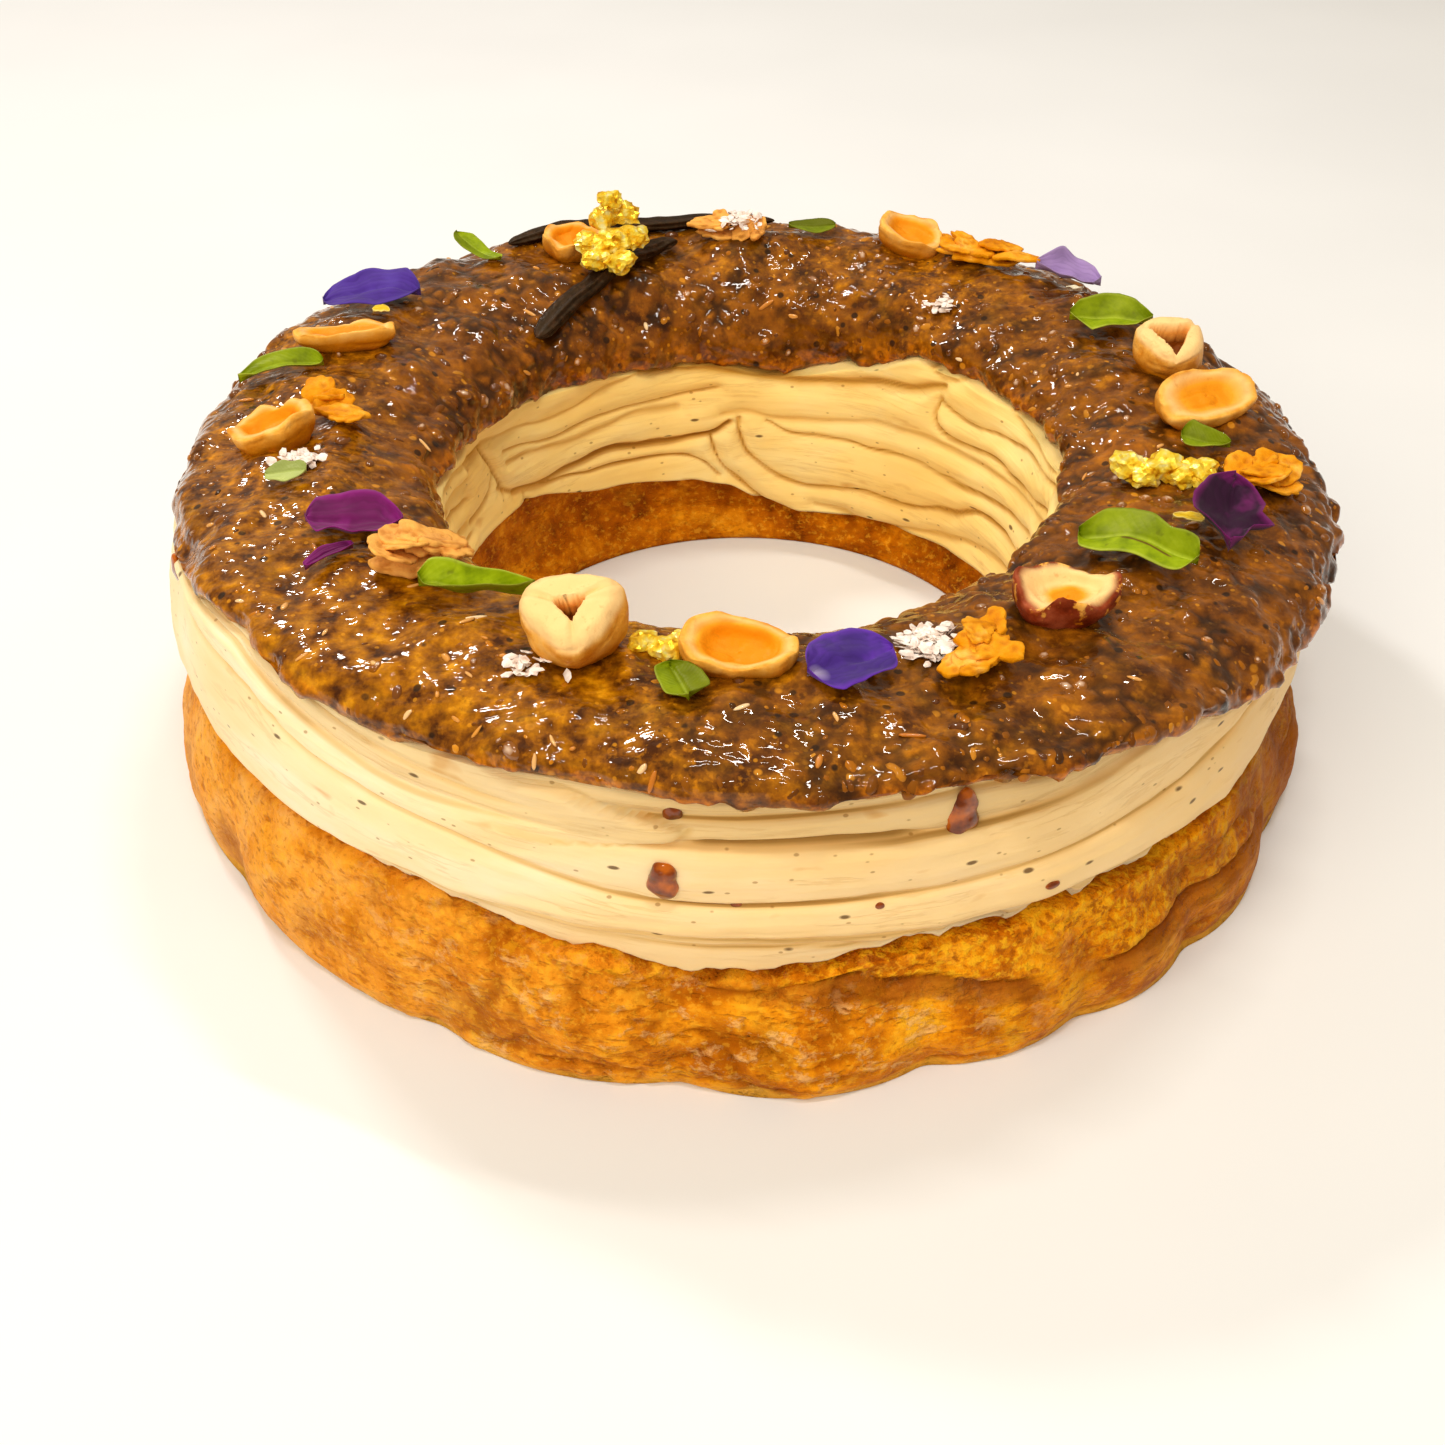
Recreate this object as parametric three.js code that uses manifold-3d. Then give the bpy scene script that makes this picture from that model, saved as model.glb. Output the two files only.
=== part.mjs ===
// Paris-Brest: a ring of choux pastry split in half, filled with piped cream and closed with its
// upper half, which is glazed with praline. Hazelnuts, leaves, viola petals, crisp flakes, gold
// leaf and a vanilla pod lie on the glaze.
// Millimetres, +Z up. The pastry stands on z = 0 with its origin under the middle of its box.

import * as THREE from "three";
import { mergeVertices } from "three/addons/utils/BufferGeometryUtils.js";
import Module from "manifold-3d";

const wasm = await Module();
wasm.setup();

// ---- Driving dimensions -------------------------------------------------------------------
const STEPS = 80; // sections round each ring
const GAP = 0.35; // clear space between neighbours

const BASE_BULGE = 1.2; // how far the lower half's side swells past its foot
const BASE_TAPER = 4.5; // how much narrower it is at the cut
const BASE_WALL_RADIUS = 58.5; // its wall inside the hole
const BASE_FOOT_RADIUS = 52.5; // its foot inside the hole
const BASE_CUT_INNER = 22.5; // height of the cut face at the hole

const CREAM_RADIUS = 103.2;
const CREAM_HOLE_RADIUS = 54.5;
const CREAM_SHIFT = 1; // the cream sits this far towards -X
const CREAM_RIDGE = 1.7; // depth of the piped ridges

const CAP_LIP = 1.2; // thickness of the upper half's edges
const CAP_ROUND_OUTER = 0.85; // how square its section is outside the crest, 1 being an ellipse
const CAP_ROUND_INNER = 0.95; // and inside the crest
const CAP_LUMP = 1.1; // height of the nut lumps under the glaze

const BLADE_THICKNESS = 0.7; // leaves and petals
const BLADE_LIFT = 1.5; // height of their middle over the cap
const BLADE_FACE = 3.3; // length of the faces they are split into
const FOIL_THICKNESS = 0.5;
const POD_LIFT = 0.3; // clear height under a vanilla pod
const NUT_SET = 0.62; // share of a hazelnut's height that stands out of the glaze
const FLAKE_SET = 0.3; // and of a flake's

// ---- Numbers, noise and rings ---------------------------------------------------------------
const radians = THREE.MathUtils.degToRad;
const lerp = THREE.MathUtils.lerp;
const clamp = THREE.MathUtils.clamp;
const ease = (t) => t * t * (3 - 2 * t);
const spread = (n, from, to) => Array.from({ length: n }, (_, i) => lerp(from, to, i / (n - 1)));

// A fixed number between -1 and 1 for each whole point of space.
function scatter(x, y, z) {
  const mixed = Math.sin(x * 127.1 + y * 311.7 + z * 74.7) * 43758.5453;
  return 2 * (mixed - Math.floor(mixed)) - 1;
}

// Smooth noise between -1 and 1, with lumps about one unit across.
function noise(x, y, z) {
  const [i, j, k] = [Math.floor(x), Math.floor(y), Math.floor(z)];
  const [u, v, w] = [ease(x - i), ease(y - j), ease(z - k)];
  const row = (b, c) => lerp(scatter(i, b, c), scatter(i + 1, b, c), u);
  const plane = (c) => lerp(row(j, c), row(j + 1, c), v);
  return lerp(plane(k), plane(k + 1), w);
}

// A value at any angle, eased between [degrees, value] pairs that go once round.
function around(keys, degrees) {
  const turn = ((degrees % 360) + 360) % 360;
  const passed = keys.filter(([angle]) => angle <= turn).length;
  const last = keys[keys.length - 1];
  const [start, from] = passed ? keys[passed - 1] : [last[0] - 360, last[1]];
  const [end, to] = passed < keys.length ? keys[passed] : [keys[0][0] + 360, keys[0][1]];
  return lerp(from, to, ease((turn - start) / (end - start)));
}

// A closed ring from its section: [radius, height] points, anticlockwise, at each angle. Rings
// that face one another split their faces along the same diagonal.
function ringGeometry(section) {
  const positions = [];
  const faces = [];
  for (let i = 0; i < STEPS; i += 1) {
    const degrees = (360 * i) / STEPS;
    const loop = section(degrees);
    const here = i * loop.length;
    const there = ((i + 1) % STEPS) * loop.length;
    loop.forEach(([radius, height], j) => {
      const k = (j + 1) % loop.length;
      const angle = radians(degrees);
      positions.push(radius * Math.cos(angle), radius * Math.sin(angle), height);
      const [a, b, c, d] = [here + j, there + j, there + k, here + k];
      if (loop[k][0] > radius) faces.push(a, b, c, a, c, d);
      else faces.push(a, b, d, d, b, c);
    });
  }
  return geometryOf(positions, faces);
}

function geometryOf(positions, faces) {
  const geometry = new THREE.BufferGeometry();
  geometry.setAttribute("position", new THREE.Float32BufferAttribute(positions, 3));
  geometry.setIndex(faces);
  geometry.computeVertexNormals();
  return geometry;
}

// ---- Joining and cutting ---------------------------------------------------------------------
function solidOf(geometry) {
  const bare = geometry.clone();
  bare.deleteAttribute("normal");
  bare.deleteAttribute("uv");
  const merged = mergeVertices(bare, 1e-3);
  const mesh = new wasm.Mesh({
    numProp: 3,
    vertProperties: merged.getAttribute("position").array,
    triVerts: new Uint32Array(merged.getIndex().array),
  });
  return new wasm.Manifold(mesh);
}

function geometryFrom(solid) {
  const mesh = solid.getMesh();
  return geometryOf(Array.from(mesh.vertProperties), Array.from(mesh.triVerts));
}

// ---- The lower half --------------------------------------------------------------------------
// Each lobe is one stroke of the piping bag: where it starts, and how far it swells.
const BASE_LOBES = [
  [12, 2.5], [36, 3], [60, 2], [86, 3], [112, 2], [136, 3], [160, 2], [184, 2], [214, 1.5],
  [242, 3], [264, 4.5], [285, 2.5], [299, 3], [313, 2.5], [330, 3.5], [350, 2.5],
];

const BASE_RADIUS = [[0, 103.5], [90, 105], [180, 107.3], [225, 107], [270, 108], [315, 107.5], [342, 104]];

const BASE_CUT_OUTER = [
  [0, 26], [90, 24], [180, 24], [212, 23.5], [225, 25.5], [242, 25], [254, 22], [268, 19.5],
  [284, 23.5], [312, 23], [325, 24.5],
];

function lobe(degrees) {
  const turn = ((degrees - BASE_LOBES[0][0]) % 360 + 360) % 360 + BASE_LOBES[0][0];
  const index = BASE_LOBES.filter(([start]) => start <= turn).length - 1;
  const [start, swell] = BASE_LOBES[index];
  const end = index + 1 < BASE_LOBES.length ? BASE_LOBES[index + 1][0] : BASE_LOBES[0][0] + 360;
  return swell * (Math.pow(Math.sin((Math.PI * (turn - start)) / (end - start)), 0.6) - 0.5);
}

function baseSection(degrees) {
  const cut = around(BASE_CUT_OUTER, degrees);
  const swell = lobe(degrees);
  const foot = around(BASE_RADIUS, degrees);
  const rough = (height) => noise(degrees / 9, height / 6, 5);
  // Height as a share of the cut's, swell past the foot line, and the lobe's share of it.
  const side = [
    [0.1, 0.8, 1], [0.26, 1, 1], [0.46, 0.6, 0.9], [0.64, -0.5, 0.7], [0.82, -1.9, 0.5],
  ].map(([share, out, lobed]) => {
    const height = share * cut;
    const radius = foot + out * BASE_BULGE + lobed * swell + 0.7 * rough(height);
    return [radius, height];
  });
  return [
    [BASE_FOOT_RADIUS + 0.5, 0],
    [foot + swell, 0],
    ...side,
    [foot - BASE_TAPER + 1 + 0.3 * swell, cut - 0.6],
    [foot - BASE_TAPER, cut],
    [BASE_WALL_RADIUS, BASE_CUT_INNER],
    [BASE_WALL_RADIUS + 0.5, 0.6 * BASE_CUT_INNER],
    [BASE_WALL_RADIUS - 1.5, 5.5],
    [BASE_FOOT_RADIUS + 0.4 * rough(90), 2],
  ];
}

// ---- The upper half's outline, which the cream below it also follows -----------------------
const CAP_HOLE_RADIUS = [
  [0, 59.5], [30, 62], [60, 62.5], [90, 59], [125, 54.5], [160, 53], [195, 56.5], [235, 61],
  [270, 60.5], [300, 57], [330, 56.5],
];

const CAP_RADIUS = [
  [0, 106.5], [60, 105], [125, 104], [150, 103.5], [175, 101.5], [200, 101], [235, 103],
  [300, 106.5],
];

const CAP_EDGE_INNER = [
  [0, 46], [25, 45], [53, 45], [64, 41], [82, 37.5], [103, 40.5], [125, 43], [154, 45],
  [195, 50], [235, 47.5], [270, 44], [300, 44], [330, 46],
];

const CAP_EDGE_OUTER = [
  [0, 44], [60, 44.5], [125, 47], [165, 49.5], [195, 53], [220, 57], [240, 53], [255, 55],
  [270, 54], [285, 55], [303, 52.5], [325, 45.5], [345, 44],
];

const CAP_CREST = [
  [0, 54], [60, 56.5], [90, 58], [120, 59.5], [150, 60.5], [180, 60], [235, 61.5], [270, 61],
  [300, 58.5], [330, 55.5],
];

// The line along which cap and cream meet, from the hole's edge to the outer edge.
function seam(degrees, radius) {
  const inner = around(CAP_HOLE_RADIUS, degrees);
  const outer = around(CAP_RADIUS, degrees);
  const share = (radius - inner) / (outer - inner);
  return lerp(around(CAP_EDGE_INNER, degrees), around(CAP_EDGE_OUTER, degrees), share);
}

// ---- The cream -------------------------------------------------------------------------------
// How low the cream hangs down the hole's wall.
const CREAM_LIP = [
  [20, 10.5], [36, 9.5], [51, 8], [76, 7], [85, 9], [94, 13], [102, 15], [121, 17], [146, 22.5],
  [169, 22.8], [200, 22.8], [240, 20], [300, 16], [340, 12],
];

// Grooves between the piped ridges, as shares of the height from the bottom to the top.
const GROOVES_OUTSIDE = [0.17, 0.3, 0.52, 0.66, 0.8, 0.93];
const GROOVES_INSIDE = [0.18, 0.36, 0.54, 0.72, 0.88];

// Shares of the height with 0 at a groove and 1 on a ridge, for a wall that wanders a little.
function ridges(grooves, degrees, seed) {
  const wander = (share) => 0.025 * noise(degrees / 24, share * 3, seed);
  const walls = [0, ...grooves, 1];
  const points = [];
  walls.slice(1).forEach((upper, i) => {
    const lower = walls[i];
    points.push([lower + (i ? wander(lower) : 0), 0]);
    points.push([lerp(lower, upper, 0.5) + wander(lower), 1]);
  });
  points.push([1, 0]);
  return points;
}

function creamSection(degrees) {
  const shift = CREAM_SHIFT * Math.cos(radians(degrees));
  const outer = CREAM_RADIUS - shift;
  const hem = around(BASE_RADIUS, degrees) - BASE_TAPER + 0.8;
  const inner = CREAM_HOLE_RADIUS;
  const flare = around(CAP_HOLE_RADIUS, degrees) - 2 - inner;
  const bottom = around(BASE_CUT_OUTER, degrees) + GAP;
  const seat = BASE_CUT_INNER + GAP;
  const lip = Math.min(around(CREAM_LIP, degrees), seat);
  const middle = (around(CAP_HOLE_RADIUS, degrees) + around(CAP_RADIUS, degrees)) / 2;
  const topOuter = seam(degrees, outer - 3) - GAP;
  const topInner = seam(degrees, inner + flare) - GAP;
  const depth = (share) => CREAM_RIDGE * (0.75 + 0.35 * noise(degrees / 14, share * 5, 17));
  const outside = ridges(GROOVES_OUTSIDE, degrees, 3).map(([share, crest]) => {
    const barrel = -1.6 * Math.pow(Math.max(0, 2 * share - 0.9), 2);
    const wall = lerp(hem, outer, Math.min(1, 3 * share)) + barrel;
    return [wall - (share ? 1 - crest : 0) * depth(share), lerp(bottom, topOuter, share)];
  });
  const inside = ridges(GROOVES_INSIDE, degrees, 9).map(([share, crest]) => {
    return [inner + flare * share * share + (1 - crest) * depth(share), lerp(lip, topInner, share)];
  });
  inside.reverse();
  return [
    [BASE_WALL_RADIUS - GAP - 1.2, lip + 0.8],
    [BASE_WALL_RADIUS - GAP, Math.max(lip + 0.8, seat - 0.4)],
    [BASE_WALL_RADIUS + 0.4, seat],
    ...outside,
    [middle, seam(degrees, middle) - GAP],
    ...inside,
  ];
}

// ---- The glazed upper half --------------------------------------------------------------------
function capTop(degrees, radius) {
  const inner = around(CAP_HOLE_RADIUS, degrees);
  const outer = around(CAP_RADIUS, degrees);
  const middle = (inner + outer) / 2;
  const outside = radius > middle;
  const reach = outside ? outer - middle : middle - inner;
  const share = clamp(Math.abs(radius - middle) / reach, 0, 1);
  const round = outside ? CAP_ROUND_OUTER : CAP_ROUND_INNER;
  const rise = Math.sqrt(1 - Math.pow(share, 2 / round));
  const edge = around(outside ? CAP_EDGE_OUTER : CAP_EDGE_INNER, degrees) + CAP_LIP;
  const x = radius * Math.cos(radians(degrees));
  const y = radius * Math.sin(radians(degrees));
  const lump = CAP_LUMP * rise * noise(x / 9, y / 9, 31);
  return lerp(edge, around(CAP_CREST, degrees), Math.pow(rise, round)) + lump;
}

function onCap(x, y) {
  return capTop(THREE.MathUtils.radToDeg(Math.atan2(y, x)), Math.hypot(x, y));
}

function capSection(degrees) {
  const inner = around(CAP_HOLE_RADIUS, degrees);
  const outer = around(CAP_RADIUS, degrees);
  const middle = (inner + outer) / 2;
  const ragged = noise(degrees / 4.5, 0, 41);
  const over = spread(13, 0, 180).map((turn, i) => {
    const across = Math.cos(radians(turn));
    const round = across > 0 ? CAP_ROUND_OUTER : CAP_ROUND_INNER;
    const reach = Math.pow(Math.abs(across), round) * (across > 0 ? outer - middle : middle - inner);
    const radius = middle + Math.sign(across) * reach;
    const bump = i < 3 || i > 9 ? 1.1 * noise(degrees / 5, i, 43) : 0;
    return [radius + bump * Math.sign(across), capTop(degrees, radius)];
  });
  return [
    [inner + 1.5, seam(degrees, inner + 1.5)],
    [middle, seam(degrees, middle)],
    [outer - 2 + ragged, seam(degrees, outer - 2 + ragged)],
    ...over,
  ];
}

// ---- Toppings -----------------------------------------------------------------------------------
// A thin wavy piece: outline gives x, y for shares along and across, lift the height of both
// faces' middle. Both faces are split into the same triangles.
function sheetGeometry({ columns, rows, thickness, outline, lift }) {
  const positions = [];
  for (const side of [-0.5, 0.5]) {
    for (const along of spread(columns + 1, 0, 1)) {
      for (const across of spread(rows + 1, 0, 1)) {
        const [x, y] = outline(along, across);
        positions.push(x, y, lift(x, y, along, across) + side * thickness);
      }
    }
  }
  const stride = rows + 1;
  const layer = (columns + 1) * stride;
  const faces = [];
  for (let i = 0; i < columns; i += 1) {
    for (let j = 0; j < rows; j += 1) {
      const a = i * stride + j;
      const [b, c, d] = [a + stride, a + stride + 1, a + 1];
      faces.push(a, d, b, b, d, c);
      faces.push(layer + a, layer + b, layer + d, layer + b, layer + c, layer + d);
    }
  }
  const rim = [];
  for (let i = 0; i < columns; i += 1) rim.push(i * stride);
  for (let j = 0; j < rows; j += 1) rim.push(columns * stride + j);
  for (let i = columns; i > 0; i -= 1) rim.push(i * stride + rows);
  for (let j = rows; j > 0; j -= 1) rim.push(j);
  rim.forEach((a, i) => {
    const b = rim[(i + 1) % rim.length];
    faces.push(a, b, layer + a, b, layer + b, layer + a);
  });
  return geometryOf(positions, faces);
}

// Places a local outline on the cap: turned about Z, then laid at x, y.
function placed({ at, turn }, a, b) {
  const angle = radians(turn);
  const [x, y] = at;
  return [
    x + a * Math.cos(angle) - b * Math.sin(angle),
    y + a * Math.sin(angle) + b * Math.cos(angle),
  ];
}

// A leaf or petal: width follows a rounded outline, the sides curl up, one end may rise.
function bladeGeometry(blade) {
  const { length, width, blunt, curl, rise = 0 } = blade;
  return sheetGeometry({
    columns: Math.ceil(length / BLADE_FACE),
    rows: Math.round(width / BLADE_FACE) < 3 ? 2 : 3,
    thickness: BLADE_THICKNESS,
    outline: (along, across) => {
      const rounded = Math.pow(Math.sin(Math.PI * lerp(0.04, 0.96, along)), blunt);
      const half = (width / 2) * Math.max(0.12, rounded);
      return placed(blade, (along - 0.5) * length, (2 * across - 1) * half);
    },
    lift: (x, y, along, across) => {
      const side = Math.pow(2 * across - 1, 2);
      const flutter = 0.35 * noise(x / 4, y / 4, 51);
      return onCap(x, y) + BLADE_LIFT + curl * side + rise * along * along + flutter;
    },
  });
}

// A halved hazelnut: a dome below, its cut face up with the hollow of the missing half.
function nutGeometry({ at, turn, lean, length, width, height, hollow, corners = 0 }) {
  const shell = [[0, -1], [0.6, -0.82], [0.93, -0.4], [1, 0]];
  const profile = [...shell, [0.86, 0.14], [0.62, 0.02], [0, -hollow]];
  const points = profile.map(([radius, level]) => new THREE.Vector2(radius, level));
  const geometry = new THREE.LatheGeometry(points, 10);
  geometry.rotateX(Math.PI / 2);
  const position = geometry.getAttribute("position");
  for (let i = 0; i < position.count; i += 1) {
    const [x, y, z] = [position.getX(i), position.getY(i), position.getZ(i)];
    const angle = Math.atan2(y, x);
    const cornered = 1 + (z > -0.1 ? 0.16 * corners * Math.cos(3 * angle) : 0);
    const pointed = 1 - 0.22 * Math.max(0, x);
    const [along, across] = [(x * cornered * length) / 2, (y * cornered * pointed * width) / 2];
    position.setXYZ(i, along, across, z * height);
  }
  geometry.rotateX(radians(lean[0]));
  geometry.rotateY(radians(lean[1]));
  geometry.rotateZ(radians(turn));
  geometry.translate(at[0], at[1], onCap(...at) + NUT_SET * height);
  return geometry;
}

// A crisp flake: a lump with a torn outline.
function flakeGeometry({ at, turn, length, width, height, seed }) {
  const geometry = mergeVertices(bareGeometry(new THREE.IcosahedronGeometry(1, 1)));
  const position = geometry.getAttribute("position");
  for (let i = 0; i < position.count; i += 1) {
    const [x, y, z] = [position.getX(i), position.getY(i), position.getZ(i)];
    const torn = 1 + 0.28 * noise(2.1 * x + seed, 2.1 * y, 2.1 * z + seed);
    position.setXYZ(i, (torn * x * length) / 2, (torn * y * width) / 2, (torn * z * height) / 2);
  }
  geometry.rotateZ(radians(turn));
  geometry.translate(at[0], at[1], onCap(...at) + FLAKE_SET * height);
  geometry.computeVertexNormals();
  return geometry;
}

function bareGeometry(geometry) {
  geometry.deleteAttribute("normal");
  geometry.deleteAttribute("uv");
  return geometry;
}

// A crumpled piece of gold leaf with a ragged outline.
function foilGeometry(foil) {
  const { length, width, lift, rise, seed } = foil;
  return sheetGeometry({
    columns: 5,
    rows: 3,
    thickness: FOIL_THICKNESS,
    outline: (along, across) => {
      const ragged = 0.8 + 0.2 * noise(along * 5, across * 5, seed);
      const round = Math.sqrt(1 - 0.75 * Math.pow(2 * along - 1, 2));
      const [a, b] = [(along - 0.5) * length, (across - 0.5) * width * round];
      return placed(foil, a * ragged, b * ragged);
    },
    lift: (x, y, along, across) =>
      onCap(x, y) + lift + rise * across + 0.8 * noise(x / 2.5, y / 2.5, seed),
  });
}

// A split vanilla pod that follows the cap's surface through its points.
function podGeometry({ path, radius }) {
  const curve = new THREE.CatmullRomCurve3(
    path.map(([x, y]) => new THREE.Vector3(x, y, onCap(x, y) + radius + POD_LIFT)),
  );
  const section = new THREE.Shape(
    spread(6, 0, 360).slice(0, 5).map((turn) => {
      const angle = radians(turn);
      return new THREE.Vector2(radius * Math.cos(angle), radius * Math.sin(angle));
    }),
  );
  const length = curve.getLength();
  return new THREE.ExtrudeGeometry(section, {
    steps: Math.round(length / (3 * radius)),
    extrudePath: curve,
    bevelEnabled: false,
  });
}

// Angles are in degrees; lean is about the nut's length and its width.
const HAZELNUTS = [
  { at: [-25.6, -77], turn: 99, lean: [-14, 6], length: 14.5, width: 14, height: 8.5, hollow: 0, corners: 1 },
  { at: [-1.6, -79.2], turn: -8, lean: [12, 4], length: 17.5, width: 11, height: 5.5, hollow: 0.5 },
  { at: [49.1, -62.2], turn: 12, lean: [16, 0], length: 17, width: 11.5, height: 6.5, hollow: 0.35 },
  { at: [86.1, 7.5], turn: 24, lean: [22, 0], length: 19.5, width: 12, height: 6, hollow: 0.3 },
  { at: [83.2, 27.2], turn: 60, lean: [6, -8], length: 15, width: 14, height: 7, hollow: 0, corners: 1 },
  { at: [37.6, 80.8], turn: -20, lean: [4, -10], length: 14.5, width: 11, height: 6.5, hollow: 0.3 },
  { at: [-35.5, 74], turn: 40, lean: [8, 0], length: 13, width: 11, height: 6.5, hollow: 0.2 },
  { at: [-76.4, 26.7], turn: 10, lean: [4, 0], length: 19.5, width: 10, height: 4.5, hollow: 0.35 },
  { at: [-83.6, -9.4], turn: 28, lean: [-10, -12], length: 15.5, width: 12, height: 7, hollow: 0.3 },
];

const LEAVES = [
  { at: [-55, 69.6], turn: 147, length: 11.5, width: 4.6, blunt: 0.5, curl: 0.4, rise: 4 },
  { at: [-87.2, 16.6], turn: 14, length: 16, width: 7, blunt: 0.8, curl: 0.5 },
  { at: [-77.9, -26.4], turn: -8, length: 7.5, width: 4.5, blunt: 0.6, curl: 0.2 },
  { at: [-41.5, -63.5], turn: 176, length: 18, width: 5.5, blunt: 0.7, curl: 1.2, rise: 1 },
  { at: [-10.1, -86.4], turn: -70, length: 8.5, width: 7, blunt: 0.35, curl: 0.4 },
  { at: [63.8, -43.2], turn: -28, length: 19, width: 10, blunt: 0.75, curl: 0.8 },
  { at: [74.4, 42.4], turn: -6, length: 16.5, width: 10, blunt: 0.7, curl: 0.9 },
  { at: [16.1, 84.7], turn: 10, length: 10.5, width: 5.5, blunt: 0.7, curl: 0.4 },
  { at: [83.4, -5.2], turn: -24, length: 9, width: 6.5, blunt: 0.6, curl: 0.5 },
];

const PETALS = [
  { at: [-73.9, 44.1], turn: 8, length: 19.5, width: 11, blunt: 0.45, curl: 1.4 },
  { at: [-64.5, -45], turn: 18, length: 14.5, width: 14, blunt: 0.4, curl: 1.8 },
  { at: [14.4, -81.5], turn: 24, length: 14.5, width: 13, blunt: 0.4, curl: 0.9, rise: 1 },
  { at: [80.6, -36], turn: 74, length: 13.5, width: 13, blunt: 0.4, curl: 3.2, rise: 2 },
  { at: [69.4, 65], turn: -12, length: 14, width: 10, blunt: 0.4, curl: 1.6 },
];

const FLAKES = [
  { at: [-52.5, -54], turn: 25, length: 15.5, width: 11, height: 7.5, seed: 1 },
  { at: [52.6, 71.5], turn: -8, length: 20, width: 8, height: 4.5, seed: 2 },
  { at: [92.5, -18.5], turn: -20, length: 12, width: 9, height: 6, seed: 3 },
  { at: [-72.6, -2.6], turn: 60, length: 9, width: 5, height: 5, seed: 4 },
  { at: [34.7, -76.3], turn: 62, length: 17, width: 7.5, height: 4.5, seed: 5 },
  { at: [-1.5, 82], turn: 4, length: 17, width: 6.5, height: 5, seed: 6 },
];

const GOLD = [
  { at: [-27, 66.5], turn: 4, length: 14, width: 15, lift: 5.3, rise: 8, seed: 61 },
  { at: [-13.8, -76.5], turn: 20, length: 8.5, width: 6, lift: 1.7, rise: 0, seed: 62 },
  { at: [74.4, -16.3], turn: -4, length: 15, width: 7, lift: 1.7, rise: 0.5, seed: 63 },
];

const PODS = [
  {
    radius: 1.6,
    path: [[-49.5, 75.5], [-42, 79.5], [-34, 83.5], [-21, 87], [-8, 89], [8, 93]],
  },
  {
    radius: 1.7,
    path: [[-13.5, 79], [-19, 75], [-25, 66], [-32, 56], [-38, 46.5], [-41, 41]],
  },
];

// Drops of caramel that have run onto the cream: angle, height, width and length.
const DROPS = [
  { degrees: 263, height: 39.5, width: 4.2, length: 5.5 },
  { degrees: 288, height: 44.5, width: 4.4, length: 8 },
  { degrees: 263.5, height: 48, width: 2.6, length: 3.2 },
  { degrees: 200.5, height: 50, width: 3.4, length: 4.4 },
];

function dropGeometry({ degrees, height, width, length }) {
  const geometry = bareGeometry(new THREE.IcosahedronGeometry(0.5, 1));
  geometry.scale(3, width, length);
  geometry.rotateZ(radians(degrees));
  const reach = CREAM_RADIUS - CREAM_SHIFT * Math.cos(radians(degrees)) - 0.6;
  const angle = radians(degrees);
  geometry.translate(reach * Math.cos(angle), reach * Math.sin(angle), height);
  return geometry;
}

// ---- Materials -----------------------------------------------------------------------------------
const material = (color, roughness, metalness = 0) =>
  new THREE.MeshStandardMaterial({ color, roughness, metalness, flatShading: true });

const CHOUX = material(0xc8812f, 0.7);
const CREAM = material(0xf6e2a8, 0.5);
const GLAZE = material(0x7a4a20, 0.2);
const HAZELNUT = material(0xe8bf85, 0.6);
const LEAF = material(0x6c9a2e, 0.5);
const VIOLET = material(0x45208a, 0.6);
const FLAKE = material(0xd9923f, 0.8);
const FOIL = material(0xe8bc3a, 0.25, 1);
const VANILLA = material(0x1d130e, 0.45);

// ---- The pastry ----------------------------------------------------------------------------------
const pastry = new THREE.Group();

function add(name, geometry, finish) {
  const mesh = new THREE.Mesh(geometry, finish);
  mesh.name = name;
  pastry.add(mesh);
}

const baseSolid = solidOf(ringGeometry(baseSection));
const capSolid = solidOf(ringGeometry(capSection));
const creamSolid = DROPS.reduce(
  (cream, drop) => cream.add(solidOf(dropGeometry(drop))),
  solidOf(ringGeometry(creamSection)),
);

add("choux_base", geometryFrom(baseSolid), CHOUX);
add("cream_ring", geometryFrom(creamSolid), CREAM);
add("glazed_cap", geometryFrom(capSolid), GLAZE);

// What lies bedded in the glaze has its underside cut to the cap's surface.
const liftedCap = capSolid.translate([0, 0, GAP]);
const bedded = (geometry) => geometryFrom(solidOf(geometry).subtract(liftedCap));

HAZELNUTS.forEach((nut, i) => add(`hazelnut_${i + 1}`, bedded(nutGeometry(nut)), HAZELNUT));
FLAKES.forEach((flake, i) => add(`flake_${i + 1}`, bedded(flakeGeometry(flake)), FLAKE));
LEAVES.forEach((leaf, i) => add(`leaf_${i + 1}`, bladeGeometry(leaf), LEAF));
PETALS.forEach((petal, i) => add(`petal_${i + 1}`, bladeGeometry(petal), VIOLET));
GOLD.forEach((foil, i) => add(`gold_leaf_${i + 1}`, foilGeometry(foil), FOIL));
PODS.forEach((pod, i) => add(`vanilla_pod_${i + 1}`, bedded(podGeometry(pod)), VANILLA));

const box = new THREE.Box3().setFromObject(pastry);
const middle = box.getCenter(new THREE.Vector3());
pastry.position.set(-middle.x, -middle.y, -box.min.z);

export default pastry;
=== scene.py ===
"""Paris-Brest: the looks of the choux ring, its piped cream, its praline glaze and its toppings.

Lengths are millimetres about the middle of the pastry's base until a mesh is made, which puts
them in the frame's metres.
"""

import math

import bmesh
import bpy
import numpy as np
from mathutils import Matrix, Vector


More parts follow.
